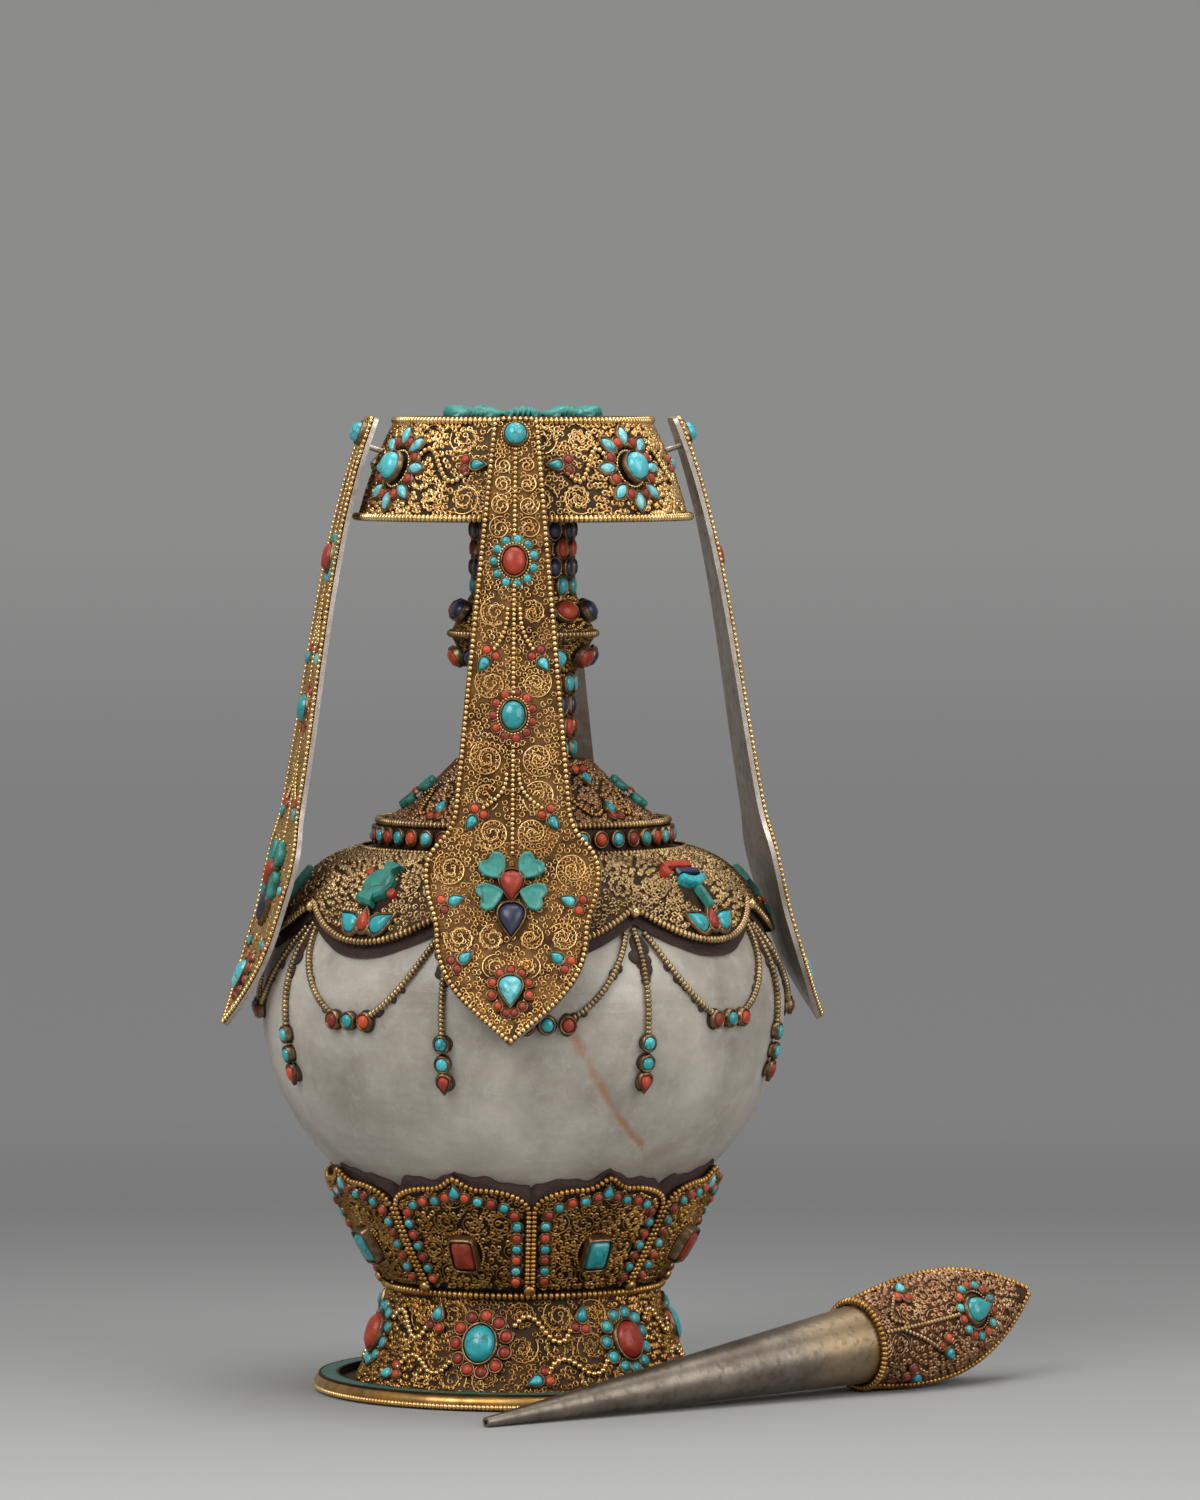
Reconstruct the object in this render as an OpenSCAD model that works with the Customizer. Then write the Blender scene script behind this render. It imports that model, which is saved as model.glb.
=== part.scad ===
// Bumpa vase: a rock crystal belly in gilt filigree mounts, four hanging lappets and a loose sprinkler stopper.
// Millimetres, +Z up, origin at the centre of the base's underside, front towards -Y.

/* [Base] */
// Radius of the base plate, without its rim band
base_r = 53.4; // [52:0.1:57]
// Thickness of the base plate's floor
base_floor_t = 2.4; // [1.6:0.1:3]
// Height of the rounded rim band
rim_band_h = 4; // [3:0.1:4.4]
// How far the rim band stands out from the plate
rim_band_d = 1.2; // [0.8:0.1:1.5]
// Height of the raised seat that holds the inlay ring
inlay_seat_h = 4.4; // [4:0.1:5.5]
// Width of the turquoise inlay ring
inlay_w = 3.9; // [3:0.1:4.5]
// Thickness of the turquoise inlay ring
inlay_t = 1.2; // [0.8:0.1:1.5]
// Width of the lip on each side of the inlay ring
inlay_lip = 0.6; // [0.4:0.1:1]

/* [Foot] */
// Distance of the foot skirt's bottom from the base plate's edge
foot_inset = 9.8; // [8.4:0.1:11]
// Outer radius of the foot skirt at the waist
foot_top_r = 35; // [34:0.1:36]
// Place of the skirt's drawn-in curve between its top and its bottom radius
foot_hollow = 0.37; // [0.25:0.01:0.5]
// Height of the foot skirt
foot_h = 24.3; // [21:0.1:27]
// Sheet thickness of the foot skirt
foot_t = 1; // [0.8:0.1:1.4]
// Number of big stones round the foot
foot_stones = 6; // [6:2:8]
// Width and height of a big foot stone
foot_stone = [8.2, 9.8];

/* [Lotus cup] */
// Thickness of the waist disc under the cup
waist_h = 2.2; // [2:0.1:3]
// Distance of the waist disc's edge inside the foot skirt's top
waist_inset = 1; // [0.6:0.1:2]
// Radius of the waist wire
waist_wire_r = 1.05; // [0.8:0.05:1.05]
// Distance that the cup's foot stands out over the foot skirt's top
cup_overhang = 0.4; // [0:0.1:1.4]
// Height of the cup from the waist to its petal tips
cup_h = 31.8; // [30:0.1:33]
// How far the petal valleys lie below the tips
petal_depth = 9; // [7:0.1:10]
// Sheet thickness of the cup
cup_t = 1; // [0.8:0.1:1.2]
// Number of petals
petals = 8; // [8:4:8]
// Width and height of the raised stone on a petal
petal_stone = [6.4, 9.4];

/* [Crystal] */
// Largest radius of the belly
belly_r = 68.1; // [66:0.1:70]
// Height of the belly's widest line above the cup's floor
belly_rise = 72.1; // [71:0.1:74]
// Lower half height of the belly's ellipse
belly_down = 63; // [62:0.1:64]
// Upper half height of the belly's ellipse
belly_up = 44; // [42:0.1:46]
// Wall of the crystal at its widest line
belly_wall = 6; // [5:0.1:8]
// Thickness of the crystal's floor
belly_floor = 7; // [5:0.1:9]
// Thickness of the crystal round its mouth
belly_lip = 4.5; // [4:0.1:6]
// Height of the flat top above the widest line
belly_top = 37; // [35:0.1:38]
// Depth of the flat seat below the widest line
belly_seat = 56; // [54:0.1:57]

/* [Shoulder] */
// Depth of the dome from its top to the bottom of a lobe
dome_h = 22.9; // [21:0.1:24]
// Outer radius of the dome's flat top
dome_top_r = 38.7; // [38:0.1:40]
// How far below the belly's flat top plus this rise the dome's top lies
dome_rise = 2.6; // [2.2:0.1:3.5]
// Fullness of the dome's curve, inwards from the lobe's edge
dome_fullness = 7.4; // [6:0.1:9]
// Height of the cusps above the bottoms of the lobes
lobe_depth = 8.9; // [7:0.1:10]
// Sheet thickness of the dome
dome_t = 1; // [0.8:0.1:1.2]
// Number of lobes
lobes = 8; // [8:4:8]
// Radius of the rope wire along the lobes
dome_wire_r = 0.85; // [0.6:0.05:1]
// Gap between crystal and metal, which lac fills
lac_gap = 0.55; // [0.5:0.05:0.8]
// How far the lac shows past the edges of the metal
lac_show = 3; // [2:0.1:3.5]

/* [Garland] */
// Radius of a garland strand
strand_r = 0.8; // [0.6:0.05:0.9]
// Radius of a garland stone's cup
garland_cup_r = 2; // [1.7:0.05:2.2]
// Height of a garland stone's cup
garland_cup_h = 0.9; // [0.6:0.1:1.2]
// Drop of a swag below the belly's widest line
swag_drop = 2; // [0:0.1:4]
// Drop of the lowest pendant stone below the belly's widest line
pendant_drop = 17; // [15:0.1:20]

/* [Tier] */
// Radius of the stone band
band_r = 38.4; // [37.5:0.1:38.6]
// Height of the stone band
band_h = 5.9; // [5:0.1:7]
// Number of stones round the band
band_stones = 46; // [40:2:46]
// Diameter of a band stone
band_stone_d = 3.8; // [3:0.1:4]
// Radius of the tier's rope wire
tier_wire_r = 1; // [0.7:0.05:1.1]
// Height of the bell above the band
bell_h = 16.9; // [15:0.1:19]
// Outer radius of the bell's top
bell_top_r = 16.6; // [15.5:0.1:18]
// Sheet thickness of the bell
bell_t = 1.1; // [0.8:0.1:1.4]

/* [Neck] */
// Radius of the mouth's bore
mouth_r = 10.6; // [9.6:0.1:10.8]
// Wall of the liner tube
liner_t = 0.7; // [0.6:0.05:0.8]
// Wall of the stone-set sleeves
sleeve_t = 0.8; // [0.6:0.05:1]
// Length of the lower sleeve
lower_neck_h = 22.6; // [20:0.1:26]
// Length of the upper sleeve
upper_neck_h = 19.4; // [18:0.1:22]
// Height of the knop
knop_h = 20; // [18:0.1:22]
// Radius of the knop at its wire
knop_r = 18.2; // [17.5:0.1:19]
// Radius of the knop's rope wire
knop_wire_r = 1; // [0.7:0.05:1.1]
// Number of stones in each of the knop's rows
knop_stones = 10; // [8:2:10]
// Height and width of a knop stone
knop_stone = [4.4, 6.4];
// Number of stone columns round the neck
neck_columns = 14; // [12:2:14]
// Stone rows on each sleeve
neck_rows = 4; // [3:1:4]
// Diameter of a neck stone
neck_stone_d = 3.8; // [3.2:0.1:4]

/* [Crown] */
// Outer radius of the crown's lower edge
crown_bottom_r = 42.4; // [41:0.1:44]
// Outer radius of the crown's upper edge
crown_top_r = 32.2; // [31:0.1:34]
// Height of the crown
crown_h = 26.9; // [25:0.1:29]
// Outward bulge of the crown's wall
crown_bulge = 1; // [0:0.1:1.5]
// Sheet thickness of the crown
crown_t = 1.2; // [1:0.1:1.5]
// Radius of the crown's rope wires
crown_wire_r = 1; // [0.7:0.05:1.1]
// Width and height of the crown's big stones
crown_stone = [6.6, 7.4];
// Outer radius of the carved petals round the mouth
mouth_petal_r = 20.3; // [19:0.1:22]
// Height of the carved petals
mouth_petal_h = 3.8; // [2.5:0.1:4.5]
// Number of carved petals round the mouth
mouth_petals_n = 10; // [8:1:10]

/* [Lappets] */
// Directions of the front, right, back and left lappets, counter-clockwise from +X
lappet_az = [268, 8, 86, 190];
// Sheet thickness of a lappet
lappet_t = 1.2; // [1:0.1:1.5]
// Gap between the crown's top edge and a lappet's top
lappet_stand = 6.7; // [6:0.1:8]
// How far the tip stands out from the belly
lappet_flare = 10.2; // [9:0.1:12]
// Depth of the tip below the belly's widest line
lappet_tip_drop = 6.5; // [4:0.1:9]
// How far the upper profile bows out past the crown's bottom edge, and how far down it is pulled
lappet_bow = 16.1; // [15:0.1:18]
upper_pull = 48.7; // [45:0.1:52]
// How far the lower profile is tucked in from the belly, and how far up it is pulled
lappet_tuck = 14.6; // [13:0.1:16]
lower_pull = 43.5; // [40:0.1:46]
// Width of a lappet at its top
stem_top_w = 12.2; // [11:0.1:14]
// Width of a lappet where its leaf begins
stem_w = 30; // [28:0.1:32]
// Largest width of the leaf
leaf_w = 45; // [42:0.1:46]
// Height of the leaf's widest line above the tip
leaf_l = 42; // [40:0.1:45]
// Height of the flare between leaf and stem
flare_h = 16; // [14:0.1:18]
// Width of the leaf's waist
leaf_waist_w = 39.2; // [37:0.1:40]
// Height of the leaf's waist above the tip
leaf_waist_at = 27; // [25:0.1:29]
// Radius of a lappet's border wire
border_r = 0.65; // [0.5:0.05:0.7]
// Radius of the stud that a lappet hangs on
stud_r = 0.75; // [0.6:0.05:1]
// Drop of the stud below the lappet's top
stud_drop = 7.6; // [7:0.1:9]
// Radius of the stud's head inside the crown
stud_head_r = 1.7; // [1.5:0.1:2]

/* [Stopper] */
// Distance of the stopper's axis from the base's rim
stopper_gap = 7; // [7:0.1:12]
// How far back along its axis the stopper's tip lies
stopper_back = 59.5; // [55:0.1:62]
// Direction that the stopper lies in, counter-clockwise from +X
stopper_az = 38.2; // [36:0.1:39]
// Length of the conical tube
spout_l = 122.7; // [115:0.1:128]
// Outer radius of the tube's tip
spout_tip_r = 1.3; // [1.2:0.05:1.5]
// Radius of the hole in the tube's tip
spout_hole_r = 0.6; // [0.5:0.05:0.7]
// Gap between the tube's wide end and the mouth
spout_fit = 0.2; // [0.1:0.05:0.4]
// Wall of the tube
spout_t = 0.7; // [0.6:0.05:0.9]
// Radius of the collar's rope wire
collar_wire_r = 1; // [0.8:0.05:1.1]
// Length of the bud-shaped head
bud_l = 60; // [54:0.1:64]
// Largest half height of the bud
bud_r = 13.5; // [12.5:0.1:13.6]
// How far the bud curves up towards its tip
bud_rise = 4.6; // [3:0.1:5.4]
// How far the bud is rolled about its axis, so that its stone faces up a little
bud_roll = 20; // [15:1:25]
// Sheet thickness of the bud
bud_t = 1; // [0.8:0.1:1.3]
// Width and length of the bud's big stone
bud_stone = [7, 9];

/* [Hidden] */
$fn = 64;

gold = [0.78, 0.58, 0.26];
dark_gold = [0.5, 0.34, 0.14];
turquoise = [0.15, 0.62, 0.62];
coral = [0.72, 0.22, 0.14];
lapis = [0.1, 0.12, 0.32];
lac = [0.14, 0.08, 0.06];
quartz = [0.8, 0.78, 0.74];
silver = [0.56, 0.53, 0.48];

// Gap that solder or cement fills between a setting and its sheet
solder = 0.06;
// Sliding gap between nested tubes
nest = 0.1;
// Running gap of a stud in the crown's wall
stud_run = 0.05;
// Gap between a stud's head and the wall
stud_gap = 0.55;
// Depth that the liner reaches into the crystal's mouth
liner_reach = 4;
// Wall of a stone's bezel, its gap to the stone and its height
bezel_t = 0.5;
bezel_gap = 0.08;
bezel_h = 1.4;
// Steps along a curved outline
steps = 12;
// Sides of a drawn wire
wire_sides = 6;
// Reach of a cutter past the widest part
cut_reach = 90;
// Trim that keeps a cut outline off the very ends of its sheet
edge_trim = 0.4;

// Heights from the floor up
z_foot = base_floor_t;
z_waist = z_foot + foot_h;
z_cup = z_waist + waist_h;
z_cup_top = z_cup + cup_h;
z_belly = z_cup + belly_rise + cup_t;
z_crystal_top = z_belly + belly_top;
z_dome = z_crystal_top + dome_rise;
z_lobe = z_dome - dome_h;
z_cusp = z_lobe + lobe_depth;
z_band = z_dome;
z_bell = z_band + band_h;
z_lower_neck = z_bell + bell_h;
z_knop = z_lower_neck + lower_neck_h;
z_upper_neck = z_knop + knop_h;
z_crown = z_upper_neck + upper_neck_h;
z_deck = z_crown + crown_h;

liner_r = mouth_r + liner_t;
sleeve_r = liner_r + nest + sleeve_t;

// Angles: the front is -Y, petals and lobes are set a little off it
front = 270;
petal_az = front + 25.5;
lobe_az = front + 5.5;
foot_az = front - 16;
crown_az = [316, 44, 136, 214];

// Quadratic curve through a profile's three points, from its bottom to its top
function bez(c, t) = pow(1 - t, 2) * c[0] + 2 * t * (1 - t) * c[1] + t * t * c[2];
function unit(v) = v / norm(v);
function bez_dir(c, t) = unit((1 - t) * (c[1] - c[0]) + t * (c[2] - c[1]));
function outward(d) = [d[1], -d[0]];
function bez_line(c, lift) = [for (i = [0:steps]) bez(c, i / steps) + lift * outward(bez_dir(c, i / steps))];
function bez_root(a, b, k) = abs(a) < 0.0001 ? -k / b : (-b + sqrt(b * b - 4 * a * k)) / (2 * a);
function bez_at(c, z) = bez_root(c[0][1] - 2 * c[1][1] + c[2][1], 2 * (c[1][1] - c[0][1]), c[0][1] - z);
function bez_r(c, z) = bez(c, bez_at(c, z))[0];
function rev(v) = [for (i = [len(v) - 1:-1:0]) v[i]];
function ring_point(r, az, z) = [r * cos(az), r * sin(az), z];

// Radius of the crystal's outside at a height, and the lift of its surface there
function belly_half(z) = z < z_belly ? belly_down : belly_up;
function belly_at(z) = belly_r * sqrt(1 - pow((z - z_belly) / belly_half(z), 2));
function belly_lift(z) = atan2((z - z_belly) / pow(belly_half(z), 2), belly_at(z) / pow(belly_r, 2));

// Profiles of the sheet-metal shells, outer face, bottom to top
foot_bottom_r = base_r - foot_inset;
waist_r = foot_top_r - waist_inset;
cup_bottom_r = foot_top_r + cup_overhang;
foot_mid_r = foot_top_r + foot_hollow * (foot_bottom_r - foot_top_r);
foot_curve = [[foot_bottom_r, z_foot], [foot_mid_r, z_foot + 0.42 * foot_h], [foot_top_r, z_waist]];
cup_top_r = belly_at(z_cup_top) + lac_gap + cup_t;
cup_curve = [[cup_bottom_r, z_cup], [cup_bottom_r + 10.4, z_cup + 0.46 * cup_h], [cup_top_r, z_cup_top]];
dome_bottom_r = belly_at(z_lobe) + lac_gap + dome_t;
dome_curve = [[dome_bottom_r, z_lobe], [dome_bottom_r - dome_fullness, z_dome - 1.1], [dome_top_r, z_dome]];
bell_bottom_r = band_r - 2 * tier_wire_r;
bell_curve = [
    [bell_bottom_r, z_bell],
    [bell_bottom_r - 9.4, z_bell + 0.35 * bell_h],
    [bell_top_r, z_lower_neck]
];
crown_curve = [
    [crown_bottom_r, z_crown],
    [(crown_bottom_r + crown_top_r) / 2 + 2 * crown_bulge, z_crown + crown_h / 2],
    [crown_top_r, z_deck]
];

// Side profile of a lappet, from its top down to its tip
lappet_top_z = z_deck + 0.2;
lappet_tip_z = z_belly - lappet_tip_drop;
lappet_l = lappet_top_z - lappet_tip_z;
lappet_curve = [
    [crown_top_r + lappet_stand, lappet_top_z],
    [crown_bottom_r + lappet_bow, lappet_top_z - upper_pull],
    [belly_r - lappet_tuck, lappet_tip_z + lower_pull],
    [belly_r + lappet_flare, lappet_tip_z]
];
function cubic(c, t) = pow(1 - t, 3) * c[0] + 3 * t * pow(1 - t, 2) * c[1] + 3 * t * t * (1 - t) * c[2]
    + pow(t, 3) * c[3];
function cubic_dir(c, t) = unit(pow(1 - t, 2) * (c[1] - c[0]) + 2 * t * (1 - t) * (c[2] - c[1])
    + t * t * (c[3] - c[2]));
function cubic_line(c, n) = [for (i = [1:n]) cubic(c, i / n)];
function lappet_out(t) = -outward(cubic_dir(lappet_curve, t));
function lappet_face(lift) = [for (i = [0:2 * steps]) cubic(lappet_curve, i / 2 / steps)
    + lift * lappet_out(i / 2 / steps)];
// Place along the profile at a height, found by halving
function lappet_at(z, low = 0, high = 1, n = 24) = let (mid = (low + high) / 2)
    n == 0 ? mid
    : cubic(lappet_curve, mid)[1] > z ? lappet_at(z, mid, high, n - 1)
    : lappet_at(z, low, mid, n - 1);

// Half of a lappet's outline, as width and height above the tip, from the tip up
leaf_low = [[0.6, 0], [leaf_waist_w / 4, leaf_waist_at * 0.3], [leaf_waist_w / 2, leaf_waist_at / 2],
    [leaf_waist_w / 2, leaf_waist_at]];
leaf_high = [[leaf_waist_w / 2, leaf_waist_at], [leaf_waist_w / 2, leaf_waist_at + 5], [leaf_w / 2, leaf_l - 7],
    [leaf_w / 2, leaf_l]];
leaf_flare = [[leaf_w / 2, leaf_l], [leaf_w / 2, leaf_l + flare_h / 2],
    [stem_w / 2 + 1.2, leaf_l + flare_h * 0.44], [stem_w / 2, leaf_l + flare_h]];
stem_corner = 2.5;
outline_l = lappet_l - 2 * edge_trim;
stem_end = [for (a = [0:30:90])
    [stem_top_w / 2 - stem_corner * (1 - cos(a)), outline_l - stem_corner * (1 - sin(a))]];
leaf_side = concat([leaf_low[0]], cubic_line(leaf_low, 6), cubic_line(leaf_high, 4), cubic_line(leaf_flare, 6));
half_outline = concat(leaf_side, stem_end);
stem_side = [for (i = [1:11]) leaf_flare[3] + (stem_end[0] - leaf_flare[3]) * i / 12];
function mirrored(v) = [for (i = [len(v) - 1:-1:0]) [-v[i][0], v[i][1]]];

// Stud of a lappet: its place on the profile and its lift above the horizontal
stud_t = lappet_at(lappet_top_z - stud_drop);
stud_out = lappet_out(stud_t);
stud_lift = atan2(stud_out[1], stud_out[0]);
stud_point = cubic(lappet_curve, stud_t);
stud_wall = let (chord = unit(crown_curve[2] - crown_curve[0]), n = outward(chord))
    ((stud_point - crown_curve[0]) * n - crown_bulge) / (stud_out * n);

// Stopper: the tube's wide end slides into the mouth, and it lies on its tip and its collar
spout_end_r = mouth_r - spout_fit;
collar_r = spout_end_r + collar_wire_r + solder;
stopper_tip = (base_r + rim_band_d + stopper_gap) * [sin(stopper_az), -cos(stopper_az)]
    - stopper_back * [cos(stopper_az), sin(stopper_az)];
stopper_lift = asin((collar_r + collar_wire_r - spout_tip_r) / spout_l);

// Puts a child on a profile, its Z outwards, its X down the profile, its Y round the axis
module on_curve(c, t, az, lift = solder) {
    out = outward(bez_dir(c, t));
    p = bez(c, t) + lift * out;
    rotate([0, 0, az]) translate([p[0], 0, p[1]]) rotate([0, 90 - atan2(out[1], out[0]), 0]) children();
}

// Puts a child on the crystal's outside
module on_crystal(az, z, lift = solder) {
    tilt = belly_lift(z);
    rotate([0, 0, az]) translate([belly_at(z) + lift * cos(tilt), 0, z + lift * sin(tilt)])
        rotate([0, 90 - tilt, 0]) children();
}

// Puts a child on a lappet's outer face at a height above the tip
module on_lappet(side, h, lift = solder) {
    t = lappet_at(lappet_tip_z + h);
    out = lappet_out(t);
    p = cubic(lappet_curve, t) + (lappet_t / 2 + lift) * out;
    translate([p[0], side, p[1]]) rotate([0, 90 - atan2(out[1], out[0]), 0]) children();
}

module turned(points) {
    rotate_extrude() polygon(points);
}

// Turned sheet along a profile, cut level at both ends
module shell(c, t) {
    inside = [for (p = bez_line(c, -t)) [p[0], min(max(p[1], c[0][1]), c[2][1])]];
    turned(concat(bez_line(c, 0), rev(inside)));
}

module tube(r_out, r_in, z, h) {
    translate([0, 0, z]) difference() {
        cylinder(r = r_out, h = h);
        translate([0, 0, -1]) cylinder(r = r_in, h = h + 2);
    }
}

module hoop(r, z, wire_r) {
    rotate_extrude() translate([r, z]) circle(wire_r);
}

// Cuts through a shell from the axis outwards, by an outline across and up
module radial_cut(az, points) {
    rotate([0, 0, az]) rotate([90, 0, 90]) linear_extrude(cut_reach) polygon(points);
}

// Round wire along points that lie round the axis
module wire(points, r, closed) {
    n = len(points);
    s = wire_sides;
    rings = [for (i = [0:n - 1]) let (
        a = points[closed ? (i + n - 1) % n : max(i - 1, 0)],
        b = points[closed ? (i + 1) % n : min(i + 1, n - 1)],
        along = unit(b - a),
        across = unit(cross(along, unit([points[i][0], points[i][1], 0]))),
        rise = cross(across, along))
        for (k = [0:s - 1]) points[i] + r * (cos(360 * k / s) * across + sin(360 * k / s) * rise)];
    walls = [for (i = [0:closed ? n - 1 : n - 2], k = [0:s - 1]) let (j = (i + 1) % n, m = (k + 1) % s)
        each [[i * s + k, i * s + m, j * s + m], [i * s + k, j * s + m, j * s + k]]];
    ends = closed ? [] : [[for (k = [s - 1:-1:0]) k], [for (k = [0:s - 1]) (n - 1) * s + k]];
    polyhedron(rings, concat(walls, ends));
}

// Domed round stone with a flat back, the cap of a ball
module round_stone(d, h) {
    ball_r = (d * d / 4 + h * h) / 2 / h;
    intersection() {
        translate([0, 0, h - ball_r]) sphere(ball_r);
        translate([-d, -d, 0]) cube([2 * d, 2 * d, 2 * d]);
    }
}

// Domed oval stone with a flat back, its length along X
module oval_stone(w, l) {
    intersection() {
        rotate([0, 90, 0]) turned([for (a = [-90:15:90]) [w / 2 * cos(a), l / 2 * sin(a)]]);
        translate([-l, -w, 0]) cube([2 * l, 2 * w, w]);
    }
}

function oval(w, l) = [for (a = [0:15:345]) [l / 2 * cos(a), w / 2 * sin(a)]];

module oval_bezel(w, l) {
    gap = bezel_gap;
    linear_extrude(bezel_h) difference() {
        polygon(oval(w + 2 * (bezel_t + gap), l + 2 * (bezel_t + gap)));
        polygon(oval(w + 2 * gap, l + 2 * gap));
    }
}

// Table-cut stone with sloped long sides, its length along X
module table_stone(w, l, h) {
    rotate([90, 0, 90]) linear_extrude(l, center = true)
        polygon([[-w / 2, 0], [w / 2, 0], [w / 2, h * 0.4], [w * 0.3, h], [-w * 0.3, h], [-w / 2, h * 0.4]]);
}

module table_bezel(w, l) {
    gap = bezel_gap;
    linear_extrude(bezel_h) difference() {
        square([l + 2 * (bezel_t + gap), w + 2 * (bezel_t + gap)], center = true);
        square([l + 2 * gap, w + 2 * gap], center = true);
    }
}

// Base and foot
module base_plate() {
    seat_out = base_r;
    seat_in = base_r - inlay_w - 2 * inlay_lip - 2 * solder;
    color(dark_gold) difference() {
        union() {
            cylinder(r = base_r, h = base_floor_t);
            tube(seat_out, seat_in, 0, inlay_seat_h);
        }
        tube(seat_out - inlay_lip, seat_in + inlay_lip, inlay_seat_h - inlay_t - solder, 2 * inlay_t);
    }
}

module base_rim_band() {
    half = rim_band_h / 2;
    color(gold) rotate_extrude() difference() {
        translate([base_r + rim_band_d - half, half]) circle(half);
        translate([base_r - 2 * half, -half]) square([2 * half + solder, 4 * half]);
    }
}

module base_inlay_ring() {
    r_out = base_r - inlay_lip - solder;
    color(turquoise) tube(r_out, r_out - inlay_w, inlay_seat_h - inlay_t, inlay_t);
}

module foot_skirt() {
    color(dark_gold) shell(foot_curve, foot_t);
}

foot_stone_t = 0.57;
// The skirt is hollow-curved, so a flat setting stands off by the depth of that curve
foot_stand = 0.6;
petal_stone_t = 0.37;
petal_stone_h = 2.4;
petal_stand = 0.1;

module foot_settings(first) {
    for (i = [first:2:foot_stones - 1])
        on_curve(foot_curve, foot_stone_t, foot_az + i * 360 / foot_stones, foot_stand) children();
}

module petal_settings(first) {
    for (i = [first:2:petals - 1])
        on_curve(cup_curve, petal_stone_t, petal_az + i * 360 / petals, petal_stand) children();
}

module base_bezels() {
    color(gold) {
        for (first = [0, 1]) {
            foot_settings(first) oval_bezel(foot_stone[0], foot_stone[1]);
            petal_settings(first) table_bezel(petal_stone[0], petal_stone[1]);
        }
    }
}

module base_coral_stones() {
    color(coral) {
        foot_settings(1) oval_stone(foot_stone[0], foot_stone[1]);
        petal_settings(1) table_stone(petal_stone[0], petal_stone[1], petal_stone_h);
    }
}

module base_turquoise_stones() {
    color(turquoise) {
        foot_settings(0) oval_stone(foot_stone[0], foot_stone[1]);
        petal_settings(0) table_stone(petal_stone[0], petal_stone[1], petal_stone_h);
    }
}

// Lotus cup
module waist_wire() {
    color(gold) hoop(waist_r + waist_wire_r + solder, (z_waist + z_cup) / 2, waist_wire_r);
}

// Height of a petal's edge, from 0 at its middle to 1 at a valley
shoulder_at = 0.35;
shoulder_h = 0.62;
function petal_rise(s) = s < shoulder_at
    ? shoulder_h + (1 - shoulder_h) * pow(1 - s / shoulder_at, 2)
    : shoulder_h * sqrt(max(0, 1 - pow((s - shoulder_at) / (1 - shoulder_at), 2)));
function petal_edge(s) = z_cup_top - petal_depth * (1 - petal_rise(s));

module petal_cup() {
    half = (cup_top_r + 1) * sin(180 / petals);
    edge = [for (i = [-steps:steps]) [half * i / steps, petal_edge(1 - abs(i) / steps) - edge_trim]];
    above = z_cup_top + 1;
    color(dark_gold) difference() {
        turned(concat([[0, z_waist], [waist_r, z_waist], [waist_r, z_cup]], bez_line(cup_curve, 0),
            rev([for (p = bez_line(cup_curve, -cup_t)) [p[0], max(p[1], z_cup + cup_t)]]),
            [[0, z_cup + cup_t]]));
        for (i = [0:petals - 1])
            radial_cut(petal_az + (i + 0.5) * 360 / petals, concat(edge, [[half, above], [-half, above]]));
    }
}

petal_wire_r = 0.5;
petal_wire_inset = 0.9;

module petal_border_wires() {
    lift = petal_wire_r + 2 * solder;
    half = 180 / petals;
    low = z_cup + 1.6;
    inset = petal_wire_inset;
    valley = petal_edge(1) - inset;
    function spot(turn, z) = let (t = bez_at(cup_curve, z), p = bez(cup_curve, t)
        + lift * outward(bez_dir(cup_curve, t))) ring_point(p[0], turn, p[1]);
    function side(z) = half - atan2(inset, bez_r(cup_curve, z));
    heights = [for (i = [0:6]) low + (valley - low) * i / 6];
    across = [for (i = [-9:9]) i / 10];
    color(gold) for (i = [0:petals - 1]) rotate([0, 0, petal_az + i * 360 / petals])
        wire(concat([for (z = heights) spot(-side(z), z)],
            [for (s = across) spot(side(valley) * s, petal_edge(abs(s)) - inset)],
            [for (z = rev(heights)) spot(side(z), z)],
            [for (s = [0.5, 0, -0.5]) spot(side(low) * s, low)]), petal_wire_r, true);
}

// Lac between the cup and the crystal, showing above the petals' valleys
bedding_show = 5;

module cup_lac_bedding() {
    low = z_cup + cup_h * 0.6;
    valley = z_cup_top - petal_depth;
    top = valley + bedding_show;
    inside = [for (i = [0:steps]) let (z = low + (top - low) * i / steps) [belly_at(z) + solder, z]];
    wall = [for (i = [0:steps]) let (z = low + (valley - low) * i / steps)
        [bez_r(cup_curve, z) - cup_t * 1.3 - nest, z]];
    color(lac) turned(concat(wall, [[belly_at(top) + lac_gap / 2, top]], rev(inside)));
}

// Crystal belly, hollow, with a flat seat and a flat top
function ellipse_line(r, down, up, low, high) = [for (i = [0:3 * steps])
    let (z = low + (high - low) * i / 3 / steps, half = z < 0 ? down : up)
    [r * sqrt(max(0, 1 - pow(z / half, 2))), z + z_belly]];

crystal_mouth_r = liner_r + nest;

module crystal_bowl() {
    cave_r = belly_r - belly_wall;
    cave_down = belly_down - belly_wall;
    cave_low = belly_floor - belly_seat;
    cave_top = belly_top - belly_lip;
    cave_up = cave_top / sqrt(1 - pow(crystal_mouth_r / cave_r, 2));
    outside = ellipse_line(belly_r, belly_down, belly_up, -belly_seat, belly_top);
    inside = ellipse_line(cave_r, cave_down, cave_up, cave_low, cave_top);
    color(quartz) turned(concat([[0, z_belly - belly_seat]], outside, [[crystal_mouth_r, z_crystal_top]],
        rev(inside), [[0, z_belly + cave_low]]));
}

// Height of a lobe's edge, from 0 at its middle to 1 at a cusp
function lobe_edge(s) = z_cusp - lobe_depth * sin(90 * (1 - s));

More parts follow.
